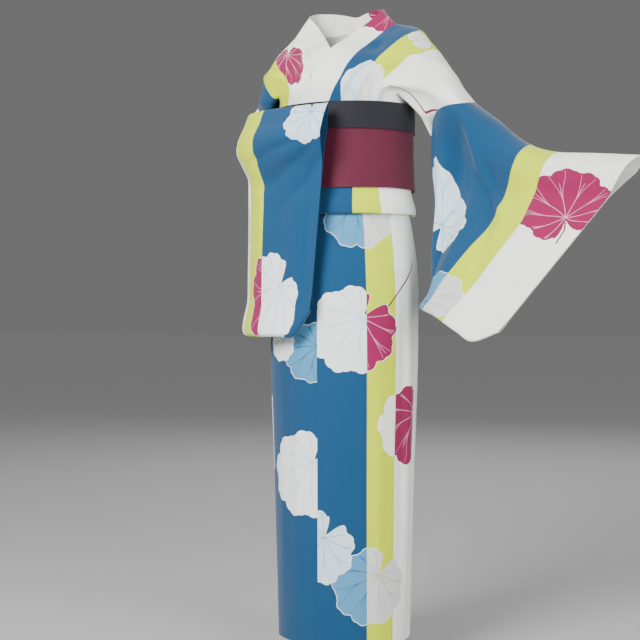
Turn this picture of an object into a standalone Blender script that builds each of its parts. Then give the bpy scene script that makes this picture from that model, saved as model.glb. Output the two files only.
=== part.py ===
"""A worn cotton yukata robe with its half-width obi: hollow, and open at the neck, the cuffs and the hem.

Every sewn piece is a wall of cloth round a mid-surface. Below the chest the mid-surface lies on rings
round the waist and the hips, at a layer's distance. Above the obi it runs over the shoulders through
short tables of stations. The origin is the middle of the neck opening, at the level of its sides.
Metres, +X to the wearer's left, the front at -Y, +Z up.
"""

import math

import bpy
import numpy as np

WALL = 0.0010
SEAM = 0.0003
HEM_Z = -1.345
OHASHORI_Z = -0.423
TIE_Z = -0.300
OBI_TOP_Z = -0.183
OBI_BOTTOM_Z = -0.367
OBI_FOLD_Z = -0.241
OBI_STEP = 0.003
CHEST_Z = -0.176
SIDE_SHARE = 0.48
OKUMI_SEAM = -0.014
OKUMI_SEAM_AT_OBI = 0.030
OKUMI_EDGE_SHARE = -0.347
COLLAR_SEAM_AT_OBI = 0.008
UNDERARM = 0.47
BODY_COLUMNS = 8
EASED_FROM = 4
EASE_ROUNDS = 3
STATION_COLUMNS = (0, 3, 6, BODY_COLUMNS)
ROWS_TO_PIT = 3
OKUMI_COLUMNS = 6
SLEEVE_COLUMNS = 9
SLEEVE_WIDTH = 0.36
RING_STEPS = 720
SHARP_TURN = 0.2
SHARP_ANGLE = math.radians(50)
COTTON_ROUGHNESS = 0.85
OBI_ROUGHNESS = 0.75

BLUE = (0.012, 0.130, 0.330, 1.0)
WHITE = (0.780, 0.800, 0.740, 1.0)
MAGENTA = (0.180, 0.015, 0.065, 1.0)
BLACK = (0.012, 0.012, 0.020, 1.0)

# The rings that the lower layers lie on: height, half width, half depth.
RINGS = (
    (HEM_Z, 0.147, 0.130),
    (-1.100, 0.153, 0.132),
    (-0.850, 0.161, 0.134),
    (-0.620, 0.166, 0.134),
    (-0.500, 0.161, 0.129),
    (-0.430, 0.149, 0.118),
    (-0.367, 0.137, 0.106),
    (-0.300, 0.134, 0.103),
    (-0.240, 0.134, 0.103),
    (-0.176, 0.134, 0.103),
)
# The chest where the fronts cross: height, how far forward at the middle, and how fast it curves back.
CHEST = (
    (-0.176, 0.1170, 2.7),
    (-0.150, 0.1225, 3.1),
    (-0.110, 0.1150, 3.8),
    (-0.070, 0.0940, 5.0),
    (-0.040, 0.0700, 6.5),
)
# Distances of the cloth's layers from the ring: skirt, turned down, turned up again.
BACK_LAYERS = (0.0, 0.0090, 0.0140)
RIGHT_LAYERS = (0.0, 0.0105, 0.0140)
LEFT_LAYERS = (0.0035, 0.0070, 0.0175)
FOLD_CENTRE_Z = OHASHORI_Z + (LEFT_LAYERS[2] - LEFT_LAYERS[1]) / 2
OBI_LAYER = 0.0215
OBI_WALL = 0.0025
OBI_FOLD_LAYER = 0.0246
KNOT_LAYER = 0.0313
KNOT_WALL = 0.0080
KNOT_BAND_LAYER = 0.0375
SKIRT_HEIGHTS = (HEM_Z, -1.010, -0.680, -0.530, -0.418, -0.375, -0.335)
DOWN_HEIGHTS = (-0.335, -0.375)
UP_HEIGHTS = (-0.375, -0.335, -0.304, -0.272, -0.240, -0.208, CHEST_Z)
TURN_STEPS = 4
# The share of a front at which its layers begin to ease to those of the back.
BLEND_FROM = 0.82

# The outer points of the body where it leaves the armhole, below the pit.
LEFT_BACK_LIP = (0.1550, 0.014, -0.152)
LEFT_FRONT_LIP = (0.1690, -0.022, -0.152)
RIGHT_BACK_LIP = (-0.1600, 0.020, -0.156)
RIGHT_FRONT_LIP = (-0.1600, -0.020, -0.156)
# Stations over each shoulder, from the back to the front. Columns: name, neck side, near, far, and
# where the sleeve seam is met, from -1 round the back to 1 round the front, or the outer point.
LEFT_STATIONS = (
    ("back_lip", (0.0004, 0.113, -0.120), (0.070, 0.106, -0.145), (0.134, 0.062, -0.154), LEFT_BACK_LIP),
    ("back_pit", (0.0004, 0.0885, -0.006), (0.080, 0.106, -0.078), (0.162, 0.070, -0.160), -UNDERARM),
    ("back_high", (0.052, 0.076, 0.002), (0.125, 0.088, -0.045), (0.195, 0.080, -0.125), -0.32),
    ("back_top", (0.100, 0.045, 0.005), (0.163, 0.050, -0.032), (0.228, 0.050, -0.110), -0.16),
    ("shoulder", (0.118, 0.000, 0.001), (0.180, 0.000, -0.020), (0.243, 0.000, -0.092), 0.0),
    ("front_top", (0.098, -0.020, -0.018), (0.160, -0.045, -0.040), (0.226, -0.052, -0.112), 0.16),
    ("front_high", (0.072, -0.044, -0.049), (0.130, -0.080, -0.080), (0.194, -0.082, -0.132), 0.32),
    ("front_pit", (0.041, None, -0.109), (0.095, None, -0.120), (0.162, -0.066, -0.162), UNDERARM),
    ("front_lip", (0.034, None, -0.150), (0.085, None, -0.155), (0.136, -0.060, -0.154), LEFT_FRONT_LIP),
)
RIGHT_STATIONS = (
    ("back_lip", (-0.0004, 0.113, -0.120), (-0.070, 0.106, -0.145), (-0.132, 0.062, -0.154), RIGHT_BACK_LIP),
    ("back_pit", (-0.0004, 0.0885, -0.006), (-0.078, 0.106, -0.082), (-0.152, 0.068, -0.160), -UNDERARM),
    ("back_high", (-0.052, 0.076, 0.000), (-0.120, 0.090, -0.058), (-0.172, 0.076, -0.135), -0.32),
    ("back_top", (-0.100, 0.045, -0.002), (-0.148, 0.050, -0.056), (-0.188, 0.050, -0.122), -0.16),
    ("shoulder", (-0.118, 0.000, -0.014), (-0.156, 0.000, -0.055), (-0.189, 0.000, -0.112), 0.0),
    ("front_top", (-0.100, -0.020, -0.024), (-0.143, -0.045, -0.066), (-0.188, -0.036, -0.126), 0.16),
    ("front_high", (-0.076, -0.044, -0.049), (-0.120, -0.080, -0.092), (-0.174, -0.054, -0.146), 0.32),
    ("front_pit", (-0.041, None, -0.109), (-0.092, None, -0.122), (-0.152, -0.060, -0.164), UNDERARM),
    ("front_lip", (-0.034, None, -0.150), (-0.085, None, -0.155), (-0.134, -0.060, -0.154), RIGHT_FRONT_LIP),
)
# The collar's free edge beside each station of the neckline, on the wearer's left.
COLLAR_EDGE = (
    ("nape", (0.000, 0.090, 0.044)),
    ("back_high", (0.044, 0.068, 0.050)),
    ("back_top", (0.080, 0.038, 0.046)),
    ("shoulder", (0.082, 0.000, 0.030)),
    ("front_top", (0.061, -0.012, 0.008)),
    ("front_high", (0.026, -0.052, -0.032)),
    ("front_pit", (-0.015, None, -0.083)),
    ("front_lip", (-0.030, None, -0.120)),
    ("obi_top", (-0.040, None, -0.146)),
)
# Sections of each sleeve from the armhole to the cuff. Columns: share of the width, the points of the
# middle sheet at the top, the underarm, the lower bag and the bottom, the way its front faces at the
# top and at the bottom in degrees, the arm's radius inside the front and inside the back, how far it
# lies below the top edge, the layers' half distance, and how far down the full width is held.
LEFT_SLEEVE = (
    (0.00, (0.300, 0.000, -0.185), (0.202, 0.002, -0.252),
     (0.230, -0.006, -0.470), (0.268, 0.004, -0.655),
     -90, -205, 0.062, 0.062, 0.0, 0.008, 0.0),
    (0.25, (0.376, -0.024, -0.246), (0.285, -0.040, -0.415),
     (0.228, -0.056, -0.535), (0.222, -0.062, -0.634),
     -100, -195, 0.046, 0.046, 0.0, 0.006, 0.0),
    (0.40, (0.420, -0.042, -0.283), (0.325, -0.075, -0.440),
     (0.252, -0.095, -0.545), (0.208, -0.106, -0.626),
     -106, -167, 0.042, 0.042, 0.0, 0.005, 0.0),
    (0.52, (0.468, -0.056, -0.302), (0.358, -0.098, -0.458),
     (0.290, -0.120, -0.553), (0.236, -0.132, -0.636),
     -106, -135, 0.040, 0.040, 0.0, 0.005, 0.0),
    (0.75, (0.560, -0.080, -0.314), (0.448, -0.134, -0.480),
     (0.372, -0.155, -0.578), (0.298, -0.172, -0.672),
     -108, -122, 0.036, 0.034, 0.0, 0.005, 0.0),
    (1.00, (0.658, -0.101, -0.325), (0.521, -0.156, -0.505),
     (0.439, -0.189, -0.613), (0.366, -0.218, -0.709),
     -112, -115, 0.030, 0.026, 0.0, 0.0018, 0.0),
)
RIGHT_SLEEVE = (
    (0.00, (-0.207, 0.000, -0.165), (-0.190, 0.006, -0.270),
     (-0.192, 0.014, -0.460), (-0.197, 0.018, -0.680),
     -70, -70, 0.022, 0.030, 0.022, 0.007, 0.17),
    (0.13, (-0.214, -0.020, -0.187), (-0.200, -0.012, -0.320),
     (-0.200, -0.010, -0.470), (-0.203, -0.008, -0.682),
     -45, -45, 0.015, 0.024, 0.050, 0.007, 0.0),
    (0.27, (-0.206, -0.050, -0.193), (-0.200, -0.050, -0.350),
     (-0.201, -0.050, -0.475), (-0.205, -0.048, -0.684),
     -22, -22, 0.012, 0.028, 0.100, 0.007, 0.0),
    (0.50, (-0.172, -0.112, -0.196), (-0.168, -0.114, -0.380),
     (-0.170, -0.110, -0.500), (-0.170, -0.110, -0.686),
     46, 46, 0.010, 0.036, 0.105, 0.006, 0.0),
    (0.75, (-0.085, -0.155, -0.196), (-0.085, -0.155, -0.390),
     (-0.094, -0.153, -0.520), (-0.102, -0.152, -0.686),
     76, 76, 0.009, 0.040, 0.085, 0.005, 0.0),
    (1.00, (0.020, -0.163, -0.193), (0.002, -0.165, -0.400),
     (-0.010, -0.166, -0.540), (-0.022, -0.168, -0.684),
     88, 88, 0.008, 0.034, 0.060, 0.0018, 0.0),
)
SLEEVE_LENGTH = 0.49
# Shares down the sleeve of the four points in each section, and where its facing starts to turn.
SHEET_SHARES = (0.0, UNDERARM, 0.75, 1.0)
TURNED_FROM = 0.4
# How far below the arm a layer comes back to the bag: a number of radii, and a length.
BULGE_RADII = 2.4
BULGE_LENGTH = 0.02
# Where the body is settled on the chest's form: from none to all, by distance aside and by height.
CHEST_SIDE = (0.115, 0.085)
CHEST_TOP = (-0.035, -0.060)
CORNER_RADIUS = 0.045
OKUMI_TIP = 0.003
COLLAR_LOW_HEIGHTS = (-0.200, -0.225, -0.250, -0.275, -0.300)
COLLAR_RISE = 0.030
COLLAR_REACH = 0.048
COLLAR_GAP = 0.0006
COLLAR_COLUMNS = 3
BAND_ROWS = 3
OBI_COLUMNS = 32
KNOT_HALF_WIDTH = 0.075
KNOT_ROWS = 5
KNOT_COLUMNS = 8
KNOT_TOP_Z = -0.176
KNOT_BOTTOM_Z = -0.372
KNOT_BAND_TOP_Z = -0.245
KNOT_BAND_BOTTOM_Z = -0.310
SEAM_SAMPLES = (0.08, 0.16, 0.24, 0.32, 0.395, 0.47)
BAG_SAMPLES = (0.60, 0.75, 0.90, 1.00)


def clear_scene():
    for obj in list(bpy.data.objects):
        bpy.data.objects.remove(obj, do_unlink=True)


def material(name, color, roughness):
    made = bpy.data.materials.new(name)
    made.use_nodes = True
    shader = made.node_tree.nodes["Principled BSDF"]
    shader.inputs["Base Color"].default_value = color
    shader.inputs["Roughness"].default_value = roughness
    shader.inputs["Metallic"].default_value = 0.0
    made.diffuse_color = color
    return made


def smooth_curve(knots, values, at):
    """A smooth curve through values at rising knots, read at each place in at."""
    knots = np.asarray(knots, float)
    values = np.asarray(values, float)
    slopes = np.gradient(values, knots, axis=0)
    at = np.clip(np.atleast_1d(np.asarray(at, float)), knots[0], knots[-1])
    span = np.clip(np.searchsorted(knots, at, side="right") - 1, 0, len(knots) - 2)
    width = knots[span + 1] - knots[span]
    t = (at - knots[span]) / width
    shape = (-1,) + (1,) * (values.ndim - 1)
    t = t.reshape(shape)
    width = width.reshape(shape)
    start = (1 + 2 * t) * (1 - t) ** 2 * values[span] + t * (1 - t) ** 2 * width * slopes[span]
    end = t**2 * (3 - 2 * t) * values[span + 1] + t**2 * (t - 1) * width * slopes[span + 1]
    return start + end


def smoothstep(low, high, value):
    t = np.clip((value - low) / (high - low), 0.0, 1.0)
    return t * t * (3 - 2 * t)


def unit(vectors):
    return vectors / np.maximum(np.linalg.norm(vectors, axis=-1, keepdims=True), 1e-12)


def ring_axes(z):
    table = np.array(RINGS)
    return smooth_curve(table[:, 0], table[:, 1:], z)[0]


def ring_lengths(z):
    """Distances round the ring from the middle of the front, with the angle at each."""
    wide, deep = ring_axes(z)
    angle = np.linspace(-math.pi, math.pi, RING_STEPS + 1)
    points = np.stack([wide * np.sin(angle), -deep * np.cos(angle)], axis=1)
    steps = np.linalg.norm(np.diff(points, axis=0), axis=1)
    along = np.concatenate([[0.0], np.cumsum(steps)])
    return along - along[RING_STEPS // 2], angle


def half_ring(z):
    return ring_lengths(z)[0][-1]


def ring_point(z, along, layer):
    """The point at a distance round the ring at height z, a layer's distance out, and its outward way."""
    lengths, angles = ring_lengths(z)
    angle = float(np.interp(along, lengths, angles))
    wide, deep = ring_axes(z)
    outward = np.array([math.sin(angle) / wide, -math.cos(angle) / deep, 0.0])
    outward /= np.linalg.norm(outward)
    place = np.array([wide * math.sin(angle), -deep * math.cos(angle), z])
    return place + layer * outward, outward


def chest_y(x, z):
    table = np.array(CHEST)
    forward, curve = smooth_curve(table[:, 0], table[:, 1:], z)[0]
    return -forward + curve * x * x


def fold_profile(layers):
    """Rows up one panel through its fold: (height, distance out, normal out, normal up)."""
    skirt, down, up = layers
    rows = [(z, skirt, 1.0, 0.0) for z in SKIRT_HEIGHTS]
    radius = (down - skirt) / 2
    for step in range(TURN_STEPS + 1):
        angle = math.pi * (1 - step / TURN_STEPS)
        out, rise = math.cos(angle), math.sin(angle)
        rows.append((TIE_Z + radius * rise, skirt + radius + radius * out, -out, -rise))
    radius = (up - down) / 2
    rows += [(z, down, -1.0, 0.0) for z in DOWN_HEIGHTS]
    for step in range(TURN_STEPS + 1):
        angle = math.pi * (1 + step / TURN_STEPS)
        out, rise = math.cos(angle), math.sin(angle)
        rows.append((FOLD_CENTRE_Z + radius * rise, down + radius + radius * out, out, rise))
    rows += [(z, up, 1.0, 0.0) for z in UP_HEIGHTS]
    return rows


def first_up_row():
    return len(SKIRT_HEIGHTS) + TURN_STEPS + 1 + len(DOWN_HEIGHTS)


def blend_layers(layers, share):
    """The layers of a front, easing to those of the back at its side seam."""
    ease = smoothstep(BLEND_FROM, 1.0, share)
    return tuple(a + (b - a) * ease for a, b in zip(layers, BACK_LAYERS))


def up_share(z):
    """How far up the outermost layer a height is, from the bottom of the fold to the chest."""
    return (z - OHASHORI_Z) / (CHEST_Z - OHASHORI_Z)


def okumi_seam(z, row):
    if row < first_up_row():
        return OKUMI_SEAM
    return OKUMI_SEAM + (OKUMI_SEAM_AT_OBI - OKUMI_SEAM) * up_share(z)


def okumi_edge(z, row):
    edge = OKUMI_EDGE_SHARE * half_ring(z)
    if row < first_up_row():
        return edge
    return edge + (COLLAR_SEAM_AT_OBI - edge) * up_share(z)


def folded_rows(side, columns, inner, outer, layers_at):
    """Points and normals of a panel from the hem up through its fold, on the rings."""
    count = len(fold_profile(BACK_LAYERS))
    points = np.zeros((count, columns + 1, 3))
    normals = np.zeros_like(points)
    for column in range(columns + 1):
        share = column / columns
        for row, (z, layer, out, rise) in enumerate(fold_profile(layers_at(share))):
            along = inner(z, row) * (1 - share) + outer(z, row) * share
            points[row, column], way = ring_point(z, side * along, layer)
            normals[row, column] = out * way + rise * np.array([0.0, 0.0, 1.0])
    return points, normals


def sleeve_frame(table, u):
    shares = [row[0] for row in table]
    sheet = smooth_curve(shares, np.array([row[1:5] for row in table]), u)[0]
    angles = smooth_curve(shares, np.array([row[5:7] for row in table]), u)[0]
    return sheet, np.radians(angles), smooth_curve(shares, np.array([row[7:] for row in table]), u)[0]


def arm_bulge(depth, radius, drop, half, hold):
    """How far a layer stands off the middle sheet at a depth below the sleeve's top edge."""
    if depth < radius and drop <= radius:
        return math.sqrt(max(radius**2 - (radius - depth) ** 2, 0.0))
    centre = max(drop, radius)
    if depth < centre:
        return half + (radius - half) * smoothstep(0.0, centre, depth)
    centre += hold
    settled = centre + BULGE_RADII * radius + BULGE_LENGTH
    return half + (radius - half) * (1 - smoothstep(centre, settled, depth))


def sleeve_point(table, u, v):
    """A point of the sleeve at share u to the cuff and share v down it, on the front for v above 0."""
    sheet, angles, (front, back, drop, half, hold) = sleeve_frame(table, u)
    near_cuff = max(0.0, CORNER_RADIUS - (1 - u) * SLEEVE_WIDTH)
    lift = CORNER_RADIUS - math.sqrt(CORNER_RADIUS**2 - near_cuff**2)
    down = abs(v) * (1 - lift / SLEEVE_LENGTH)
    place = smooth_curve(SHEET_SHARES, sheet, down)[0]
    angle = angles[0] + (angles[1] - angles[0]) * smoothstep(TURNED_FROM, 1.0, abs(v))
    facing = np.array([math.cos(angle), math.sin(angle), 0.0])
    depth = down * SLEEVE_LENGTH
    if v == 0:
        return place
    if v > 0:
        return place + facing * arm_bulge(depth, front, drop, half, hold)
    return place - facing * arm_bulge(depth, back, drop, half, hold)


def station_points(stations, table, layer):
    """The four points across each station; on the chest the depth comes from the chest's form."""
    rows = []
    for _, neck, near, far, outer in stations:
        row = []
        for x, y, z in (neck, near, far):
            row.append((x, chest_y(x, z) - layer if y is None else y, z))
        row.append(sleeve_point(table, 0.0, outer) if np.isscalar(outer) else outer)
        rows.append(row)
    return np.array(rows, float)


def settle_on_chest(points, layer):
    """Moves the points in front of the neck onto the chest's form, a layer's distance out."""
    x, y, z = points[..., 0], points[..., 1], points[..., 2]
    on = smoothstep(*CHEST_SIDE, np.abs(x)) * smoothstep(*CHEST_TOP, z) * (y < 0)
    form = np.array([chest_y(a, b) for a, b in zip(x.ravel(), z.ravel())]).reshape(x.shape)
    points[..., 1] = y + (form - layer - y) * on
    return points


def ease(points, first_column, rounds):
    """Lets the cloth between the first column and the sleeve seam settle halfway to its neighbours."""
    for _ in range(rounds):
        inside = points[1:-1, first_column:-1]
        beside = points[1:-1, first_column - 1 : -2] + points[1:-1, first_column + 1 :]
        above = points[:-2, first_column:-1] + points[2:, first_column:-1]
        settled = points.copy()
        settled[1:-1, first_column:-1] = inside / 2 + (beside + above) / 8
        points = settled
    return points


def upper_rows(stations, table, back_ring, front_ring, layer):
    """Rows over the shoulder between the last ring row of the back and that of the front."""
    knots = station_points(stations, table, layer - RIGHT_LAYERS[2])
    inner = list(STATION_COLUMNS)
    back_ends = [back_ring[row][inner] for row in (-2, -1)]
    front_ends = [front_ring[row][inner] for row in (-1, -2)]
    knots = np.concatenate([back_ends, knots, front_ends])
    places = np.arange(0.0, len(knots))
    seam = [row[4] if np.isscalar(row[4]) else None for row in stations]
    wanted = []
    for place in range(1, len(knots) - 2):
        wanted += [place + 0.5, place + 1.0]
    wanted = wanted[:-1]
    across = smooth_curve(places, knots, wanted)
    rows = []
    for place, row in zip(wanted, across):
        low, high = int(math.floor(place)) - 2, int(math.ceil(place)) - 2
        if 0 <= low and high < len(seam) and seam[low] is not None and seam[high] is not None:
            row[3] = sleeve_point(table, 0.0, (seam[low] + seam[high]) / 2)
        line = smooth_curve(inner, row, np.arange(BODY_COLUMNS + 1))
        rows.append(line)
    edged = np.concatenate([back_ring[-1:], rows, front_ring[-1:]])
    return ease(edged, EASED_FROM, EASE_ROUNDS)[1:-1]


def grid_normals(points, closed=False):
    """The mean way out of the faces round each point of a grid, whose columns may run in a ring."""
    if closed:
        points = np.concatenate([points[:, -1:], points, points[:, :1]], axis=1)
    total = np.zeros_like(points)
    down = points[1:] - points[:-1]
    across = points[:, 1:] - points[:, :-1]
    for row in (0, 1):
        for column in (0, 1):
            beside = across[row : len(across) - 1 + row]
            along = down[:, column : down.shape[1] - 1 + column]
            corner = unit(np.cross(beside, along))
            total[row : total.shape[0] - 1 + row, column : total.shape[1] - 1 + column] += corner
    return unit(total[:, 1:-1] if closed else total)


def body_grid(side, stations, table, front_layers):
    """Mid-surface and normals of one body panel from its back hem to its front hem."""
    back, back_normals = folded_rows(
        side,
        BODY_COLUMNS,
        lambda z, row: half_ring(z) - SEAM / 2,
        lambda z, row: SIDE_SHARE * half_ring(z) + SEAM / 2,
        lambda share: BACK_LAYERS,
    )
    front, front_normals = folded_rows(
        side,
        BODY_COLUMNS,
        lambda z, row: okumi_seam(z, row) + SEAM / 2,
        lambda z, row: SIDE_SHARE * half_ring(z) - SEAM / 2,
        lambda share: blend_layers(front_layers, share),
    )
    upper = upper_rows(stations, table, back, front, front_layers[2])
    settle_on_chest(upper, front_layers[2] - RIGHT_LAYERS[2])
    upper[:, 0, 0] = side * np.maximum(side * upper[:, 0, 0], SEAM / 2)
    points = np.concatenate([back, upper, front[::-1]])
    normals = grid_normals(points)
    if np.dot(normals[2, 4], back_normals[2, 4]) < 0:
        normals = -normals
    normals[: len(back)] = back_normals
    normals[-len(front) :] = front_normals[::-1]
    return points, unit(normals), len(back), len(upper)


def split(a, b, c, d, other_way):
    """Two triangles of the face a-b-d-c, divided from a to d, or else from b to c."""
    if other_way:
        return [(a, b, c), (b, d, c)]
    return [(a, b, d), (a, d, c)]


def wall(name, points, normals, thickness, made_of, closed=False, turned=0):
    """One closed solid: the grid moved out and in by half the thickness, joined round its edges.

    The first columns, as many as turned says, have their faces divided the other way, so that two
    layers that lie on each other stay parallel.
    """
    rows, columns = points.shape[:2]
    outer = points + normals * thickness / 2
    inner = points - normals * thickness / 2
    count = rows * columns
    vertices = np.concatenate([outer.reshape(-1, 3), inner.reshape(-1, 3)])
    faces = []
    spans = columns if closed else columns - 1
    for row in range(rows - 1):
        for column in range(spans):
            after = (column + 1) % columns
            a, b = row * columns + column, row * columns + after
            out = split(a, b, a + columns, b + columns, column < turned)
            faces += out
            faces += [(count + z, count + y, count + x) for x, y, z in out]
    for column in range(spans):
        after = (column + 1) % columns
        low = (rows - 1) * columns
        faces += split(column, count + column, after, count + after, False)
        faces += split(low + column, low + after, count + low + column, count + low + after, False)
    if not closed:
        for row in range(rows - 1):
            a, c = row * columns, (row + 1) * columns
            b, d = a + columns - 1, c + columns - 1
            faces += split(a, c, count + a, count + c, False)
            faces += split(b, count + b, d, count + d, False)
    if np.linalg.det(vertices[np.array(faces)]).sum() < 0:
        faces = [face[::-1] for face in faces]
    mesh = bpy.data.meshes.new(name)
    mesh.from_pydata(vertices.tolist(), [], faces)
    mesh.materials.append(made_of)
    mesh.shade_smooth()
    mesh.set_sharp_from_angle(angle=SHARP_ANGLE)
    obj = bpy.data.objects.new(name, mesh)
    bpy.context.scene.collection.objects.link(obj)
    return obj


def okumi_grid(side, layers, seam_points):
    """The overlap panel: on the rings through the fold, then a wedge up the chest to the collar."""
    points, normals = folded_rows(
        side,
        OKUMI_COLUMNS,
        lambda z, row: okumi_seam(z, row) - SEAM / 2,
        lambda z, row: okumi_edge(z, row),
        lambda share: layers,
    )
    tip = seam_points[-1]
    wedge = []
    for seam_x, _, z in seam_points:
        share = (z - CHEST_Z) / (tip[2] - CHEST_Z)
        edge_x = side * COLLAR_SEAM_AT_OBI * (1 - share) + (tip[0] - side * OKUMI_TIP) * share
        xs = np.linspace(seam_x - side * SEAM, edge_x, OKUMI_COLUMNS + 1)
        wedge.append([(x, chest_y(x, z) - (layers[2] - RIGHT_LAYERS[2]), z) for x in xs])
    points = np.concatenate([points, np.array(wedge)])
    fresh = grid_normals(points)
    if np.dot(fresh[2, 2], normals[2, 2]) < 0:
        fresh = -fresh
    fresh[: len(normals)] = normals
    return points, unit(fresh)


def collar_half(side, layers, neckline, okumi):
    """One half of the collar, in rows from the nape down to its end under the obi."""
    gap = layers[2] - RIGHT_LAYERS[2]
    knots = []
    for _, (x, y, z) in COLLAR_EDGE:
        knots.append((side * x, chest_y(x, z) - gap if y is None else y, z))
    seam = np.concatenate([neckline, okumi[::-1]])
    free = smooth_curve(np.arange(len(knots)), knots, np.linspace(0, len(knots) - 1, len(seam)))
    start = seam + unit(free - seam) * COLLAR_GAP
    shares = np.linspace(0.0, 1.0, COLLAR_COLUMNS + 1)[None, :, None]
    upper = settle_on_chest(start[:, None] * (1 - shares) + free[:, None] * shares, gap)
    low = []
    for z in COLLAR_LOW_HEIGHTS:
        along = okumi_edge(z, first_up_row()) - COLLAR_GAP
        row = [
            ring_point(z + COLLAR_RISE * share, side * (along - COLLAR_REACH * share), layers[2])[0]
            for share in shares.ravel()
        ]
        low.append(row)
    return np.concatenate([upper, np.array(low)])


def sleeve_grid(table):
    """Rings of a sleeve from the armhole to the cuff, each run from the back's bottom over the top."""
    down = SEAM_SAMPLES + BAG_SAMPLES
    samples = [-v for v in reversed(down)] + [0.0] + list(down)
    shares = [SEAM / SLEEVE_WIDTH] + [column / SLEEVE_COLUMNS for column in range(1, SLEEVE_COLUMNS + 1)]
    points = np.array([[sleeve_point(table, u, v) for v in samples] for u in shares])
    return points, grid_normals(points, True)


def band_grid(low, high, layer, half_width=None, rows=BAND_ROWS, columns=OBI_COLUMNS):
    """A band on the rings between two heights, right round or to each side of the middle of the back."""
    points = np.zeros((rows, columns if half_width is None else columns + 1, 3))
    normals = np.zeros_like(points)
    for row, z in enumerate(np.linspace(low, high, rows)):
        half = half_ring(z)
        if half_width is None:
            places = np.linspace(-half, half, columns + 1)[:-1]
        else:
            places = np.linspace(half - half_width, half + half_width, columns + 1)
            places = np.where(places > half, places - 2 * half, places)
        for column, along in enumerate(places):
            points[row, column], normals[row, column] = ring_point(z, along, layer)
    return points, normals


def share_normals(first, second):
    """The way out that both sides of a seam take, or their own where they meet at a sharp fold."""
    together = unit(first + second)
    sharp = (first * second).sum(axis=-1, keepdims=True) < SHARP_TURN
    return np.where(sharp, first, together), np.where(sharp, second, together)


def build_side(side, stations, sleeve_table, layers):
    """The body panel, the overlap panel and the sleeve of one side, with the edges the collar needs."""
    name = "left" if side > 0 else "right"
    body, body_normals, back_rows, upper_count = body_grid(side, stations, sleeve_table, layers)
    sleeve, sleeve_normals = sleeve_grid(sleeve_table)
    centre = sleeve.mean(axis=1, keepdims=True)
    if ((sleeve - centre) * sleeve_normals).sum() < 0:
        sleeve_normals = -sleeve_normals
    first = back_rows + ROWS_TO_PIT
    last = first + 2 * len(SEAM_SAMPLES)
    ring = slice(len(BAG_SAMPLES), len(BAG_SAMPLES) + last - first + 1)
    edges = share_normals(body_normals[first : last + 1, -1], sleeve_normals[0, ring])
    body_normals[first : last + 1, -1], sleeve_normals[0, ring] = edges
    okumi, okumi_normals = okumi_grid(side, layers, body[last + 1 : back_rows + upper_count, 0][::-1])
    return {
        "name": name,
        "body": (body, body_normals),
        "sleeve": (sleeve, sleeve_normals),
        "okumi": (okumi, okumi_normals),
        "neck_rows": slice(first, last + 1),
    }


def main():
    clear_scene()
    cotton = material("printed_cotton", BLUE, COTTON_ROUGHNESS)
    pale_cotton = material("white_cotton", WHITE, COTTON_ROUGHNESS)
    obi_cloth = material("obi_magenta", MAGENTA, OBI_ROUGHNESS)
    obi_lining = material("obi_black", BLACK, OBI_ROUGHNESS)
    left = build_side(1, LEFT_STATIONS, LEFT_SLEEVE, LEFT_LAYERS)
    right = build_side(-1, RIGHT_STATIONS, RIGHT_SLEEVE, RIGHT_LAYERS)
    halves = []
    for side, parts, layers in ((1, left, LEFT_LAYERS), (-1, right, RIGHT_LAYERS)):
        neckline = parts["body"][0][parts["neck_rows"], 0].copy()
        neckline[0, 0] = 0.0
        wedge = parts["okumi"][0][len(fold_profile(BACK_LAYERS)) - 1 :, -1]
        halves.append(collar_half(side, layers, neckline, wedge))
    collar = np.concatenate([halves[1][::-1][:-1], halves[0]])
    collar_normals = grid_normals(collar)
    wall("collar", collar, collar_normals, WALL, pale_cotton)
    back_columns = len(SEAM_SAMPLES + BAG_SAMPLES)
    for parts in (left, right):
        wall(parts["name"] + "_body", *parts["body"], WALL, cotton)
        wall(parts["name"] + "_okumi", *parts["okumi"], WALL, cotton)
        wall(parts["name"] + "_sleeve", *parts["sleeve"], WALL, cotton, True, back_columns)
    magenta_layer = band_grid(OBI_BOTTOM_Z, OBI_TOP_Z - OBI_STEP, OBI_LAYER)
    wall("obi", *magenta_layer, OBI_WALL, obi_cloth, closed=True)
    wall("obi_fold", *band_grid(OBI_FOLD_Z, OBI_TOP_Z, OBI_FOLD_LAYER), OBI_WALL, obi_lining, closed=True)
    knot = band_grid(KNOT_BOTTOM_Z, KNOT_TOP_Z, KNOT_LAYER, KNOT_HALF_WIDTH, KNOT_ROWS, KNOT_COLUMNS)
    wall("obi_knot", *knot, KNOT_WALL, obi_cloth)
    wrap = (KNOT_BAND_BOTTOM_Z, KNOT_BAND_TOP_Z, KNOT_BAND_LAYER)
    band = band_grid(*wrap, KNOT_HALF_WIDTH, BAND_ROWS, KNOT_COLUMNS)
    wall("obi_knot_band", *band, OBI_WALL, obi_cloth)


main()
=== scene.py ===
"""The looks of the worn yukata: fine cloth shells on the forms of the solids, their creases and their print.

Metres, +X to the wearer's left, the front at -Y, +Z up. The cloth's own coordinates run across the bolt
(u, from the edge on the viewer's left) and along it (v). The print is drawn in them.
"""

import math

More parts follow.
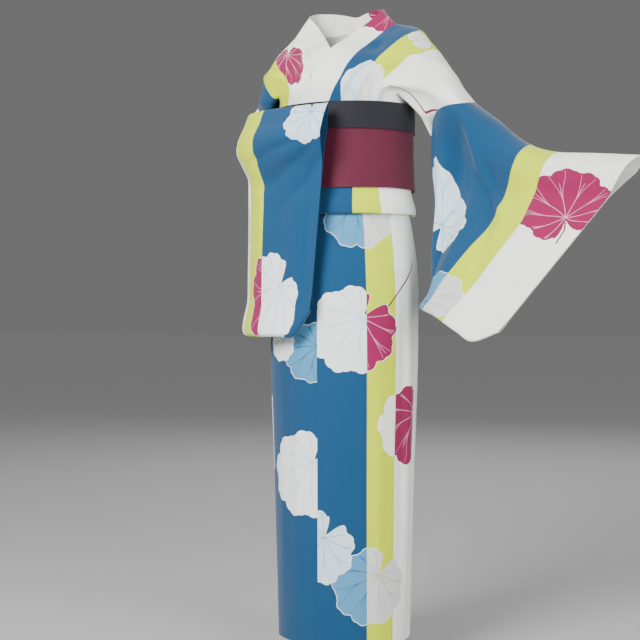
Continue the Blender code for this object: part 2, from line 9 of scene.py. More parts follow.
import bpy
import numpy as np
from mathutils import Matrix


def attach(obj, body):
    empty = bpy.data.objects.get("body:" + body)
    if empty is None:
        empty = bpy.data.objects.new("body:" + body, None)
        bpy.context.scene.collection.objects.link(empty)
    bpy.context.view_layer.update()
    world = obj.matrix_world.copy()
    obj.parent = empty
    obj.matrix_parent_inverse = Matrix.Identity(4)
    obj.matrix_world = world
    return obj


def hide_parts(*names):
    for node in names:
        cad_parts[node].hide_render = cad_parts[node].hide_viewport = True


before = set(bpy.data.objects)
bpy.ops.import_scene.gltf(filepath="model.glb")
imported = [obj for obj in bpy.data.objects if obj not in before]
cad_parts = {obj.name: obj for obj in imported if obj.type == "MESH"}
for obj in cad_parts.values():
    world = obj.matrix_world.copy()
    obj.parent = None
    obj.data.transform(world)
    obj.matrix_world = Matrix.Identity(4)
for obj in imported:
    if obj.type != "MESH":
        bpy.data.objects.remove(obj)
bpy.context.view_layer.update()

# The form that the solids have too.
SEAM = 0.0003
HEM_Z = -1.345
OHASHORI_Z = -0.423
TIE_Z = -0.300
OBI_TOP_Z = -0.183
OBI_BOTTOM_Z = -0.367
OBI_FOLD_Z = -0.241
OBI_STEP = 0.003
CHEST_Z = -0.176
SIDE_SHARE = 0.48
OKUMI_SEAM = -0.014
OKUMI_SEAM_AT_OBI = 0.030
OKUMI_EDGE_SHARE = -0.347
COLLAR_SEAM_AT_OBI = 0.008
UNDERARM = 0.47
BODY_COLUMNS = 8
EASED_FROM = 4
EASE_ROUNDS = 3
STATION_COLUMNS = (0, 3, 6, BODY_COLUMNS)
ROWS_TO_PIT = 3
OKUMI_COLUMNS = 6
SLEEVE_COLUMNS = 9
SLEEVE_WIDTH = 0.36
RING_STEPS = 720
SHARP_ANGLE = math.radians(50)

# The rings that the lower layers lie on: height, half width, half depth.
RINGS = (
    (HEM_Z, 0.147, 0.130),
    (-1.100, 0.153, 0.132),
    (-0.850, 0.161, 0.134),
    (-0.620, 0.166, 0.134),
    (-0.500, 0.161, 0.129),
    (-0.430, 0.149, 0.118),
    (-0.367, 0.137, 0.106),
    (-0.300, 0.134, 0.103),
    (-0.240, 0.134, 0.103),
    (-0.176, 0.134, 0.103),
)
# The chest where the fronts cross: height, how far forward at the middle, and how fast it curves back.
CHEST = (
    (-0.176, 0.1170, 2.7),
    (-0.150, 0.1225, 3.1),
    (-0.110, 0.1150, 3.8),
    (-0.070, 0.0940, 5.0),
    (-0.040, 0.0700, 6.5),
)
# Distances of the cloth's layers from the ring: skirt, turned down, turned up again.
BACK_LAYERS = (0.0, 0.0090, 0.0140)
RIGHT_LAYERS = (0.0, 0.0105, 0.0140)
LEFT_LAYERS = (0.0035, 0.0070, 0.0175)
FOLD_CENTRE_Z = OHASHORI_Z + (LEFT_LAYERS[2] - LEFT_LAYERS[1]) / 2
OBI_LAYER = 0.0215
OBI_FOLD_LAYER = 0.0246
KNOT_LAYER = 0.0313
KNOT_BAND_LAYER = 0.0375
SKIRT_HEIGHTS = (HEM_Z, -1.010, -0.680, -0.530, -0.418, -0.375, -0.335)
DOWN_HEIGHTS = (-0.335, -0.375)
UP_HEIGHTS = (-0.375, -0.335, -0.304, -0.272, -0.240, -0.208, CHEST_Z)
TURN_STEPS = 4
# The share of a front at which its layers begin to ease to those of the back.
BLEND_FROM = 0.82

# The outer points of the body where it leaves the armhole, below the pit.
LEFT_BACK_LIP = (0.1550, 0.014, -0.152)
LEFT_FRONT_LIP = (0.1690, -0.022, -0.152)
RIGHT_BACK_LIP = (-0.1600, 0.020, -0.156)
RIGHT_FRONT_LIP = (-0.1600, -0.020, -0.156)
# Stations over each shoulder, from the back to the front. Columns: name, neck side, near, far, and
# where the sleeve seam is met, from -1 round the back to 1 round the front, or the outer point.
LEFT_STATIONS = (
    ("back_lip", (0.0004, 0.113, -0.120), (0.070, 0.106, -0.145), (0.134, 0.062, -0.154), LEFT_BACK_LIP),
    ("back_pit", (0.0004, 0.0885, -0.006), (0.080, 0.106, -0.078), (0.162, 0.070, -0.160), -UNDERARM),
    ("back_high", (0.052, 0.076, 0.002), (0.125, 0.088, -0.045), (0.195, 0.080, -0.125), -0.32),
    ("back_top", (0.100, 0.045, 0.005), (0.163, 0.050, -0.032), (0.228, 0.050, -0.110), -0.16),
    ("shoulder", (0.118, 0.000, 0.001), (0.180, 0.000, -0.020), (0.243, 0.000, -0.092), 0.0),
    ("front_top", (0.098, -0.020, -0.018), (0.160, -0.045, -0.040), (0.226, -0.052, -0.112), 0.16),
    ("front_high", (0.072, -0.044, -0.049), (0.130, -0.080, -0.080), (0.194, -0.082, -0.132), 0.32),
    ("front_pit", (0.041, None, -0.109), (0.095, None, -0.120), (0.162, -0.066, -0.162), UNDERARM),
    ("front_lip", (0.034, None, -0.150), (0.085, None, -0.155), (0.136, -0.060, -0.154), LEFT_FRONT_LIP),
)
RIGHT_STATIONS = (
    ("back_lip", (-0.0004, 0.113, -0.120), (-0.070, 0.106, -0.145), (-0.132, 0.062, -0.154), RIGHT_BACK_LIP),
    ("back_pit", (-0.0004, 0.0885, -0.006), (-0.078, 0.106, -0.082), (-0.152, 0.068, -0.160), -UNDERARM),
    ("back_high", (-0.052, 0.076, 0.000), (-0.120, 0.090, -0.058), (-0.172, 0.076, -0.135), -0.32),
    ("back_top", (-0.100, 0.045, -0.002), (-0.148, 0.050, -0.056), (-0.188, 0.050, -0.122), -0.16),
    ("shoulder", (-0.118, 0.000, -0.014), (-0.156, 0.000, -0.055), (-0.189, 0.000, -0.112), 0.0),
    ("front_top", (-0.100, -0.020, -0.024), (-0.143, -0.045, -0.066), (-0.188, -0.036, -0.126), 0.16),
    ("front_high", (-0.076, -0.044, -0.049), (-0.120, -0.080, -0.092), (-0.174, -0.054, -0.146), 0.32),
    ("front_pit", (-0.041, None, -0.109), (-0.092, None, -0.122), (-0.152, -0.060, -0.164), UNDERARM),
    ("front_lip", (-0.034, None, -0.150), (-0.085, None, -0.155), (-0.134, -0.060, -0.154), RIGHT_FRONT_LIP),
)
# The collar's free edge beside each station of the neckline, on the wearer's left.
COLLAR_EDGE = (
    ("nape", (0.000, 0.090, 0.044)),
    ("back_high", (0.044, 0.068, 0.050)),
    ("back_top", (0.080, 0.038, 0.046)),
    ("shoulder", (0.082, 0.000, 0.030)),
    ("front_top", (0.061, -0.012, 0.008)),
    ("front_high", (0.026, -0.052, -0.032)),
    ("front_pit", (-0.015, None, -0.083)),
    ("front_lip", (-0.030, None, -0.120)),
    ("obi_top", (-0.040, None, -0.146)),
)
# Sections of each sleeve from the armhole to the cuff. Columns: share of the width, the points of the
# middle sheet at the top, the underarm, the lower bag and the bottom, the way its front faces at the
# top and at the bottom in degrees, the arm's radius inside the front and inside the back, how far it
# lies below the top edge, the layers' half distance, and how far down the full width is held.
LEFT_SLEEVE = (
    (0.00, (0.300, 0.000, -0.185), (0.202, 0.002, -0.252),
     (0.230, -0.006, -0.470), (0.268, 0.004, -0.655),
     -90, -205, 0.062, 0.062, 0.0, 0.008, 0.0),
    (0.25, (0.376, -0.024, -0.246), (0.285, -0.040, -0.415),
     (0.228, -0.056, -0.535), (0.222, -0.062, -0.634),
     -100, -195, 0.046, 0.046, 0.0, 0.006, 0.0),
    (0.40, (0.420, -0.042, -0.283), (0.325, -0.075, -0.440),
     (0.252, -0.095, -0.545), (0.208, -0.106, -0.626),
     -106, -167, 0.042, 0.042, 0.0, 0.005, 0.0),
    (0.52, (0.468, -0.056, -0.302), (0.358, -0.098, -0.458),
     (0.290, -0.120, -0.553), (0.236, -0.132, -0.636),
     -106, -135, 0.040, 0.040, 0.0, 0.005, 0.0),
    (0.75, (0.560, -0.080, -0.314), (0.448, -0.134, -0.480),
     (0.372, -0.155, -0.578), (0.298, -0.172, -0.672),
     -108, -122, 0.036, 0.034, 0.0, 0.005, 0.0),
    (1.00, (0.658, -0.101, -0.325), (0.521, -0.156, -0.505),
     (0.439, -0.189, -0.613), (0.366, -0.218, -0.709),
     -112, -115, 0.030, 0.026, 0.0, 0.0018, 0.0),
)
RIGHT_SLEEVE = (
    (0.00, (-0.207, 0.000, -0.165), (-0.190, 0.006, -0.270),
     (-0.192, 0.014, -0.460), (-0.197, 0.018, -0.680),
     -70, -70, 0.022, 0.030, 0.022, 0.007, 0.17),
    (0.13, (-0.214, -0.020, -0.187), (-0.200, -0.012, -0.320),
     (-0.200, -0.010, -0.470), (-0.203, -0.008, -0.682),
     -45, -45, 0.015, 0.024, 0.050, 0.007, 0.0),
    (0.27, (-0.206, -0.050, -0.193), (-0.200, -0.050, -0.350),
     (-0.201, -0.050, -0.475), (-0.205, -0.048, -0.684),
     -22, -22, 0.012, 0.028, 0.100, 0.007, 0.0),
    (0.50, (-0.172, -0.112, -0.196), (-0.168, -0.114, -0.380),
     (-0.170, -0.110, -0.500), (-0.170, -0.110, -0.686),
     46, 46, 0.010, 0.036, 0.105, 0.006, 0.0),
    (0.75, (-0.085, -0.155, -0.196), (-0.085, -0.155, -0.390),
     (-0.094, -0.153, -0.520), (-0.102, -0.152, -0.686),
     76, 76, 0.009, 0.040, 0.085, 0.005, 0.0),
    (1.00, (0.020, -0.163, -0.193), (0.002, -0.165, -0.400),
     (-0.010, -0.166, -0.540), (-0.022, -0.168, -0.684),
     88, 88, 0.008, 0.034, 0.060, 0.0018, 0.0),
)
SLEEVE_LENGTH = 0.49
# Shares down the sleeve of the four points in each section, and where its facing starts to turn.
SHEET_SHARES = (0.0, UNDERARM, 0.75, 1.0)
TURNED_FROM = 0.4
# How far below the arm a layer comes back to the bag: a number of radii, and a length.
BULGE_RADII = 2.4
BULGE_LENGTH = 0.02
# Where the body is settled on the chest's form: from none to all, by distance aside and by height.
CHEST_SIDE = (0.115, 0.085)
CHEST_TOP = (-0.035, -0.060)
CORNER_RADIUS = 0.045
OKUMI_TIP = 0.003
COLLAR_LOW_HEIGHTS = (-0.200, -0.225, -0.250, -0.275, -0.300)
COLLAR_RISE = 0.030
COLLAR_REACH = 0.048
COLLAR_GAP = 0.0006
COLLAR_COLUMNS = 3
BAND_ROWS = 3
OBI_COLUMNS = 32
KNOT_HALF_WIDTH = 0.075
KNOT_ROWS = 5
KNOT_COLUMNS = 8
KNOT_TOP_Z = -0.176
KNOT_BOTTOM_Z = -0.372
KNOT_BAND_TOP_Z = -0.245
KNOT_BAND_BOTTOM_Z = -0.310
SEAM_SAMPLES = (0.08, 0.16, 0.24, 0.32, 0.395, 0.47)
BAG_SAMPLES = (0.60, 0.75, 0.90, 1.00)

CLOTH = 0.0007
OBI_CLOTH = 0.0022
KNOT_CLOTH = 0.0070
KNOT_BAND_CLOTH = 0.0024
FINE_STEP = 0.0062
FOLD_END = 0.25
FOLD_FADE = 0.7
SEAM_ROLL = 0.0006
SEAM_ROLL_WIDTH = 0.005
SLEEVE_TOP_CALM = 0.05
FORWARD = (0.0, -1.0, 0.0)
BACKWARD = (0.0, 1.0, 0.0)

# The print on the bolt: where its stripes meet, and how far the pieces are cut from its edges.
BOLT = 0.380
BLUE_EDGE = 0.178
YELLOW_EDGE = 0.240
LEFT_OKUMI_CUT = (0.160, 0.020)
RIGHT_OKUMI_CUT = (0.215, 0.355)
LEFT_SLEEVE_START = 0.006
RIGHT_SLEEVE_START = 0.020
RIGHT_SLEEVE_POWER = 0.85
TOP_EASE = 0.13
TOP_EASE_DEPTH = 0.2
# Where each body panel lies on the bolt: how far along the panel from its front hem, then how far its
# centre edge and its side edge are from the bolt's edge.
LEFT_CUT = (
    (0.00, 0.070, 0.300),
    (0.95, 0.080, 0.310),
    (1.42, 0.123, 0.360),
    (1.80, 0.050, 0.330),
    (3.30, 0.040, 0.300),
)
RIGHT_CUT = (
    (0.00, 0.070, 0.300),
    (0.95, 0.070, 0.290),
    (1.42, 0.040, 0.262),
    (1.80, 0.050, 0.330),
    (3.30, 0.040, 0.300),
)
BLUE = (0.0005, 0.050, 0.132)
YELLOW = (0.520, 0.630, 0.001)
WHITE = (0.840, 0.865, 0.800)
STRIPES = (BLUE, YELLOW, WHITE)
MAGENTA = (0.245, 0.004, 0.063)
ROSE = (0.66, 0.26, 0.40)
OUTLINE_COLOR = (0.80, 0.82, 0.79)
STEM_COLOR = (0.14, 0.012, 0.045)
OBI_MAGENTA = (0.092, 0.0026, 0.022)
OBI_BLACK = (0.006, 0.006, 0.011)
# Each kind of leaf has a colour of its own on each stripe, and so have its veins.
LEAF_KINDS = {
    "white_then_magenta": (
        ((0.76, 0.80, 0.80), (0.78, 0.80, 0.76), MAGENTA),
        ((0.42, 0.60, 0.72), (0.62, 0.66, 0.40), ROSE),
    ),
    "cut": ((BLUE, YELLOW, MAGENTA), (BLUE, YELLOW, ROSE)),
    "magenta": ((MAGENTA,) * 3, (ROSE,) * 3),
    "magenta_from_yellow": (
        ((0.76, 0.80, 0.80), MAGENTA, MAGENTA),
        ((0.42, 0.60, 0.72), ROSE, ROSE),
    ),
    "shaded": (
        ((0.070, 0.250, 0.430), (0.56, 0.58, 0.56), (0.60, 0.61, 0.60)),
        ((0.010, 0.100, 0.270), (0.40, 0.41, 0.30), (0.42, 0.44, 0.46)),
    ),
    "pale": (
        ((0.56, 0.68, 0.76), (0.70, 0.74, 0.72), (0.70, 0.74, 0.76)),
        ((0.16, 0.40, 0.60), (0.52, 0.56, 0.50), (0.52, 0.58, 0.62)),
    ),
}
# Leaves on each panel. Columns: kind, u and v of the stem's joint, the way the leaf points in degrees,
# and its radius.
LEAVES = {
    "left_body": (
        ("pale", 0.185, 1.402, 90, 0.074),
        ("pale", 0.205, 1.600, 80, 0.026),
        ("shaded", 0.168, 0.958, -90, 0.080),
        ("magenta_from_yellow", 0.169, 0.699, -128, 0.090),
        ("white_then_magenta", 0.300, 0.495, -118, 0.083),
        ("shaded", 0.203, 0.152, -122, 0.080),
        ("pale", 0.088, 0.232, -125, 0.077),
        ("magenta_from_yellow", 0.150, 1.900, 60, 0.088),
        ("white_then_magenta", 0.250, 2.250, -60, 0.085),
        ("shaded", 0.120, 2.560, 120, 0.082),
        ("pale", 0.230, 2.820, -100, 0.080),
    ),
    "right_body": (
        ("cut", 0.281, 1.533, -128, 0.052),
        ("pale", 0.120, 1.760, 70, 0.084),
        ("shaded", 0.200, 2.060, -110, 0.080),
        ("magenta_from_yellow", 0.150, 2.420, 110, 0.090),
        ("white_then_magenta", 0.250, 2.720, -70, 0.086),
        ("pale", 0.120, 0.420, 60, 0.084),
        ("shaded", 0.150, 0.780, -80, 0.078),
    ),
    "left_okumi": (
        ("shaded", 0.162, 0.640, -140, 0.062),
        ("magenta_from_yellow", 0.076, 0.655, -120, 0.037),
        ("magenta_from_yellow", 0.150, 0.390, -126, 0.090),
        ("pale", 0.070, 0.930, 70, 0.070),
    ),
    "right_okumi": (
        ("white_then_magenta", 0.270, 0.500, 100, 0.080),
        ("shaded", 0.300, 0.900, -80, 0.072),
    ),
    "left_sleeve": (
        ("cut", 0.320, 0.170, -117, 0.091),
        ("cut", 0.262, -0.004, -90, 0.018),
        ("pale", 0.070, 0.300, -80, 0.060),
        ("shaded", 0.170, 0.462, -75, 0.064),
        ("pale", 0.120, -0.160, -70, 0.082),
        ("white_then_magenta", 0.290, -0.330, -110, 0.084),
    ),
    "right_sleeve": (
        ("pale", 0.058, -0.024, -100, 0.056),
        ("magenta_from_yellow", 0.125, -0.412, -48, 0.070),
        ("shaded", 0.300, -0.300, -60, 0.078),
        ("pale", 0.120, 0.200, 80, 0.080),
        ("white_then_magenta", 0.290, 0.360, 100, 0.082),
    ),
    "collar": (("magenta", 0.034, 0.640, 65, 0.078),),
}
# Stems on each panel, as short bent lines. Columns: the points.
STEMS = {
    "left_body": (
        ((0.262, 1.470), (0.300, 1.492), (0.333, 1.500), (0.356, 1.552)),
        ((0.169, 0.699), (0.192, 0.700), (0.222, 0.722), (0.251, 0.759), (0.282, 0.797), (0.306, 0.821)),
    ),
    "left_sleeve": (
        ((0.002, 0.030), (0.016, 0.012), (0.034, -0.010)),
        ((0.318, 0.166), (0.332, 0.200), (0.336, 0.236)),
    ),
    "left_okumi": (((0.150, 0.390), (0.156, 0.410), (0.168, 0.425)),),
}
# Soft folds pressed into each piece. Columns: start u, v, end u, v, half width, height.
CREASES = {
    "left_body": (
        (0.300, 1.640, 0.170, 1.440, 0.012, 0.0093),
        (0.250, 1.600, 0.130, 1.430, 0.010, -0.0030),
        (0.330, 1.560, 0.230, 1.430, 0.009, 0.0090),
        (0.350, 1.520, 0.290, 1.440, 0.007, 0.0075),
        (0.200, 1.540, 0.110, 1.425, 0.008, 0.0039),
        (0.120, 0.905, 0.240, 0.840, 0.010, 0.0032),
        (0.150, 0.880, 0.290, 0.780, 0.013, -0.0022),
        (0.285, 0.060, 0.275, 0.820, 0.014, 0.0043),
        (0.255, 0.150, 0.262, 0.760, 0.010, -0.0022),
        (0.120, 0.040, 0.105, 0.560, 0.015, 0.0025),
        (0.205, 0.030, 0.200, 0.640, 0.012, 0.0027),
        (0.110, 1.060, 0.126, 1.000, 0.006, 0.0036),
        (0.160, 1.070, 0.172, 0.996, 0.007, 0.0032),
        (0.216, 1.064, 0.222, 1.000, 0.006, 0.0043),
        (0.262, 1.070, 0.256, 1.004, 0.006, 0.0032),
        (0.220, 1.900, 0.120, 2.160, 0.014, 0.0040),
        (0.270, 1.860, 0.200, 2.150, 0.011, 0.0032),
        (0.100, 1.960, 0.070, 2.170, 0.012, 0.0026),
        (0.160, 2.600, 0.170, 3.100, 0.016, 0.0020),
        (0.240, 2.500, 0.236, 3.050, 0.013, 0.0016),
    ),
    "right_body": (
        (0.080, 1.620, 0.200, 1.440, 0.011, 0.0056),
        (0.130, 1.640, 0.260, 1.450, 0.010, 0.0042),
        (0.060, 1.540, 0.130, 1.440, 0.008, 0.0048),
        (0.160, 1.900, 0.260, 2.150, 0.014, 0.0036),
        (0.100, 1.860, 0.190, 2.150, 0.011, 0.0030),
        (0.300, 1.960, 0.320, 2.170, 0.012, 0.0024),
        (0.200, 2.600, 0.190, 3.100, 0.016, 0.0020),
        (0.130, 2.500, 0.140, 3.050, 0.013, 0.0016),
        (0.110, 0.060, 0.120, 0.780, 0.013, 0.0018),
    ),
    "left_okumi": (
        (0.110, 0.060, 0.120, 0.700, 0.013, 0.0026),
        (0.060, 0.100, 0.075, 0.560, 0.012, 0.0022),
    ),
    "left_sleeve": (
        (0.010, 0.090, 0.075, 0.440, 0.016, 0.0106),
        (0.045, 0.110, 0.120, 0.455, 0.013, -0.0100),
        (0.080, 0.090, 0.175, 0.430, 0.017, 0.0100),
        (0.130, 0.110, 0.245, 0.400, 0.018, -0.0088),
        (0.030, 0.060, 0.210, 0.210, 0.011, 0.0081),
        (0.200, 0.080, 0.330, 0.330, 0.022, 0.0050),
        (0.270, 0.180, 0.345, 0.440, 0.018, -0.0044),
        (0.060, 0.200, 0.110, 0.480, 0.010, 0.0037),
        (0.010, -0.090, 0.090, -0.440, 0.016, 0.0063),
        (0.090, -0.100, 0.200, -0.430, 0.018, 0.0056),
        (0.210, -0.100, 0.320, -0.400, 0.020, 0.0044),
    ),
    "right_sleeve": (
        (0.060, -0.130, 0.045, -0.450, 0.014, 0.0045),
        (0.110, -0.120, 0.080, -0.400, 0.012, -0.0030),
        (0.150, -0.120, 0.120, -0.460, 0.015, 0.0050),
        (0.190, -0.090, 0.185, -0.430, 0.013, -0.0026),
        (0.230, -0.080, 0.245, -0.420, 0.016, 0.0036),
        (0.020, -0.060, 0.210, -0.150, 0.010, 0.0065),
        (0.040, -0.105, 0.180, -0.205, 0.011, 0.0055),
        (0.030, -0.150, 0.150, -0.270, 0.010, 0.0040),
        (0.290, -0.080, 0.310, -0.400, 0.014, 0.0030),
    ),
    "collar": (
        (0.030, 0.300, 0.030, 0.420, 0.010, 0.0010),
        (0.026, 0.780, 0.030, 0.900, 0.010, 0.0010),
    ),
    "obi": (
        (0.040, 0.060, 0.300, 0.074, 0.005, 0.0012),
        (0.180, 0.100, 0.500, 0.092, 0.004, -0.0008),
        (0.420, 0.040, 0.660, 0.052, 0.005, 0.0010),
        (0.560, 0.110, 0.860, 0.098, 0.005, 0.0012),
    ),
    "obi_knot": (
        (0.030, 0.020, 0.060, 0.190, 0.012, 0.0024),
        (0.110, 0.010, 0.090, 0.180, 0.012, 0.0020),
    ),
}
# A leaf's shape, in shares of its radius and in turns round its centre.
LEAF_INPUTS = ("Joint U", "Joint V", "Turn", "Radius")
LEAF_CENTRE = 0.36
LEAF_REACH = 0.90
LOBE_TURNS = 4.5
LOBE_START = 0.35
LOBE_DEPTH = 0.11
SCALLOP_TURNS = 11.5
SCALLOP_START = 1.1
SCALLOP_DEPTH = 0.035
NOTCH_ANGLE = 0.14
NOTCH_SOFTNESS = 0.12
NOTCH_DEPTH = 0.56
LEAF_OUTLINE = 0.0014
# Its veins: angles in radians, widths in metres, and shares of the radius with how softly each is met.
VEIN_STEP = 0.60
VEIN_OFFSET = 20.5
VEIN_WAVES = 4.0
VEIN_SWAY = 0.05
VEIN_WIDTH = 0.00085
VEIN_TAPER = -0.00032
VEIN_MARGIN = (0.0045, 0.0005)
VEINS_WITHIN = 2.75
VEINS_WITHIN_SOFTNESS = 0.02
MAIN_END = (0.98, 0.06)
FORK_START = (0.44, 0.04)
FORK_MIDDLE = 0.85
FORK_LENGTH = 0.45
FORK_SPREAD = 0.15
FORK_WIDTH = 0.8
STEM_HALF_WIDTH = 0.0016
PRINT_SOFTNESS = 0.0004
STRIPE_SOFTNESS = 0.0005
LINE_SOFTNESS = 0.0003
WEAVE_PITCH = 0.0008
OBI_RIB = 0.0016
# How dark the painted shade in the grooves between the obi's ribs is.
OBI_RIB_SHADE = 0.78
COTTON_ROUGHNESS, COTTON_SHEEN, COTTON_UNEVEN = 0.82, 0.20, 0.07
OBI_ROUGHNESS, OBI_SHEEN, OBI_UNEVEN = 0.62, 0.15, 0.10
SPECULAR = 0.25
SHEEN_ROUGHNESS = 0.5
# Sockets of a Mix node that is set to colours.
MIX_LOW, MIX_HIGH, MIX_RESULT = 6, 7, 2

CAMERA_TARGET = (-0.051, -0.018, -0.650)
CAMERA_DISTANCE = 2.8
CAMERA_AZIMUTH = 20.0
CAMERA_LENS = 70.6
# Soft lights. Columns: name, place, what it is aimed at, size, power.
LIGHTS = (
    ("key", (-0.9, -2.9, 0.9), (0.0, 0.0, -0.5), 1.4, 225.0),
    ("fill", (2.6, -1.8, 0.0), (0.1, 0.0, -0.7), 2.0, 95.0),
    ("back", (-0.6, 4.2, 2.4), (0.0, 0.0, -0.5), 2.4, 100.0),
)
SKY_POWER = 0.77
SKY_ANGLE = 1.0
FLOOR_Z = -1.405
FLOOR_HALF = 60.0
FLOOR_ROUGHNESS = 0.9
FLOOR_GREYS = ((0.39, 0.39, 0.39), (0.41, 0.41, 0.41))
WORLD_GREY = (0.165, 0.165, 0.165, 1.0)


def smooth_curve(knots, values, at):
    """A smooth curve through values at rising knots, read at each place in at."""
    knots = np.asarray(knots, float)
    values = np.asarray(values, float)
    slopes = np.gradient(values, knots, axis=0)
    at = np.clip(np.atleast_1d(np.asarray(at, float)), knots[0], knots[-1])
    span = np.clip(np.searchsorted(knots, at, side="right") - 1, 0, len(knots) - 2)
    width = knots[span + 1] - knots[span]
    t = (at - knots[span]) / width
    shape = (-1,) + (1,) * (values.ndim - 1)
    t = t.reshape(shape)
    width = width.reshape(shape)
    start = (1 + 2 * t) * (1 - t) ** 2 * values[span] + t * (1 - t) ** 2 * width * slopes[span]
    end = t**2 * (3 - 2 * t) * values[span + 1] + t**2 * (t - 1) * width * slopes[span + 1]
    return start + end


def smoothstep(low, high, value):
    t = np.clip((value - low) / (high - low), 0.0, 1.0)
    return t * t * (3 - 2 * t)


def unit(vectors):
    return vectors / np.maximum(np.linalg.norm(vectors, axis=-1, keepdims=True), 1e-12)


def ring_axes(z):
    table = np.array(RINGS)
    return smooth_curve(table[:, 0], table[:, 1:], z)[0]


def ring_lengths(z):
    """Distances round the ring from the middle of the front, with the angle at each."""
    wide, deep = ring_axes(z)
    angle = np.linspace(-math.pi, math.pi, RING_STEPS + 1)
    points = np.stack([wide * np.sin(angle), -deep * np.cos(angle)], axis=1)
    steps = np.linalg.norm(np.diff(points, axis=0), axis=1)
    along = np.concatenate([[0.0], np.cumsum(steps)])
    return along - along[RING_STEPS // 2], angle


def half_ring(z):
    return ring_lengths(z)[0][-1]


def ring_point(z, along, layer):
    """The point at a distance round the ring at height z, a layer's distance out."""
    lengths, angles = ring_lengths(z)
    angle = float(np.interp(along, lengths, angles))
    wide, deep = ring_axes(z)
    outward = unit(np.array([math.sin(angle) / wide, -math.cos(angle) / deep, 0.0]))
    return np.array([wide * math.sin(angle), -deep * math.cos(angle), z]) + layer * outward


def chest_y(x, z):
    table = np.array(CHEST)
    forward, curve = smooth_curve(table[:, 0], table[:, 1:], z)[0]
    return -forward + curve * x * x


def turn_rows(centre_z, low_layer, high_layer, way):
    """The rows round a fold from one layer to the next: (height, distance out)."""
    radius = (high_layer - low_layer) / 2
    rows = []
    for step in range(TURN_STEPS + 1):
        angle = math.pi * (1 + way * step / TURN_STEPS)
        rows.append((centre_z + radius * math.sin(angle), low_layer + radius + radius * math.cos(angle)))
    return rows


def fold_profile(layers):
    """Rows up one panel through its fold: (height, distance out)."""
    skirt, down, up = layers
    rows = [(z, skirt) for z in SKIRT_HEIGHTS]
    rows += turn_rows(TIE_Z, skirt, down, -1)
    rows += [(z, down) for z in DOWN_HEIGHTS]
    rows += turn_rows(FOLD_CENTRE_Z, down, up, 1)
    return rows + [(z, up) for z in UP_HEIGHTS]


def first_up_row():
    return len(SKIRT_HEIGHTS) + TURN_STEPS + 1 + len(DOWN_HEIGHTS)


def blend_layers(layers, share):
    """The layers of a front, easing to those of the back at its side seam."""
    ease = smoothstep(BLEND_FROM, 1.0, share)
    return tuple(a + (b - a) * ease for a, b in zip(layers, BACK_LAYERS))


def up_share(z):
    """How far up the outermost layer a height is, from the bottom of the fold to the chest."""
    return (z - OHASHORI_Z) / (CHEST_Z - OHASHORI_Z)


def okumi_seam(z, row):
    if row < first_up_row():
        return OKUMI_SEAM
    return OKUMI_SEAM + (OKUMI_SEAM_AT_OBI - OKUMI_SEAM) * up_share(z)


def okumi_edge(z, row):
    edge = OKUMI_EDGE_SHARE * half_ring(z)
    if row < first_up_row():
        return edge
    return edge + (COLLAR_SEAM_AT_OBI - edge) * up_share(z)


def folded_rows(side, columns, inner, outer, layers_at):
    """Points of a panel from the hem up through its fold, on the rings."""
    points = np.zeros((len(fold_profile(BACK_LAYERS)), columns + 1, 3))
    for column in range(columns + 1):
        share = column / columns
        for row, (z, layer) in enumerate(fold_profile(layers_at(share))):
            along = inner(z, row) * (1 - share) + outer(z, row) * share
            points[row, column] = ring_point(z, side * along, layer)
    return points


def sleeve_frame(table, u):
    shares = [row[0] for row in table]
    sheet = smooth_curve(shares, np.array([row[1:5] for row in table]), u)[0]
    angles = smooth_curve(shares, np.array([row[5:7] for row in table]), u)[0]
    return sheet, np.radians(angles), smooth_curve(shares, np.array([row[7:] for row in table]), u)[0]


def arm_bulge(depth, radius, drop, half, hold):
    """How far a layer stands off the middle sheet at a depth below the sleeve's top edge."""
    if depth < radius and drop <= radius:
        return math.sqrt(max(radius**2 - (radius - depth) ** 2, 0.0))
    centre = max(drop, radius)
    if depth < centre:
        return half + (radius - half) * smoothstep(0.0, centre, depth)
    centre += hold
    settled = centre + BULGE_RADII * radius + BULGE_LENGTH
    return half + (radius - half) * (1 - smoothstep(centre, settled, depth))


def sleeve_point(table, u, v):
    """A point of the sleeve at share u to the cuff and share v down it, on the front for v above 0."""
    sheet, angles, (front, back, drop, half, hold) = sleeve_frame(table, u)
    near_cuff = max(0.0, CORNER_RADIUS - (1 - u) * SLEEVE_WIDTH)
    lift = CORNER_RADIUS - math.sqrt(CORNER_RADIUS**2 - near_cuff**2)
    down = abs(v) * (1 - lift / SLEEVE_LENGTH)
    place = smooth_curve(SHEET_SHARES, sheet, down)[0]
    angle = angles[0] + (angles[1] - angles[0]) * smoothstep(TURNED_FROM, 1.0, abs(v))
    facing = np.array([math.cos(angle), math.sin(angle), 0.0])
    depth = down * SLEEVE_LENGTH
    if v == 0:
        return place
    if v > 0:
        return place + facing * arm_bulge(depth, front, drop, half, hold)
    return place - facing * arm_bulge(depth, back, drop, half, hold)


def station_points(stations, table, layer):
    """The four points across each station; on the chest the depth comes from the chest's form."""
    rows = []
    for _, neck, near, far, outer in stations:
        row = []
        for x, y, z in (neck, near, far):
            row.append((x, chest_y(x, z) - layer if y is None else y, z))
        row.append(sleeve_point(table, 0.0, outer) if np.isscalar(outer) else outer)
        rows.append(row)
    return np.array(rows, float)


def settle_on_chest(points, layer):
    """Moves the points in front of the neck onto the chest's form, a layer's distance out."""
    x, y, z = points[..., 0], points[..., 1], points[..., 2]
    on = smoothstep(*CHEST_SIDE, np.abs(x)) * smoothstep(*CHEST_TOP, z) * (y < 0)
    form = np.array([chest_y(a, b) for a, b in zip(x.ravel(), z.ravel())]).reshape(x.shape)
    points[..., 1] = y + (form - layer - y) * on
    return points


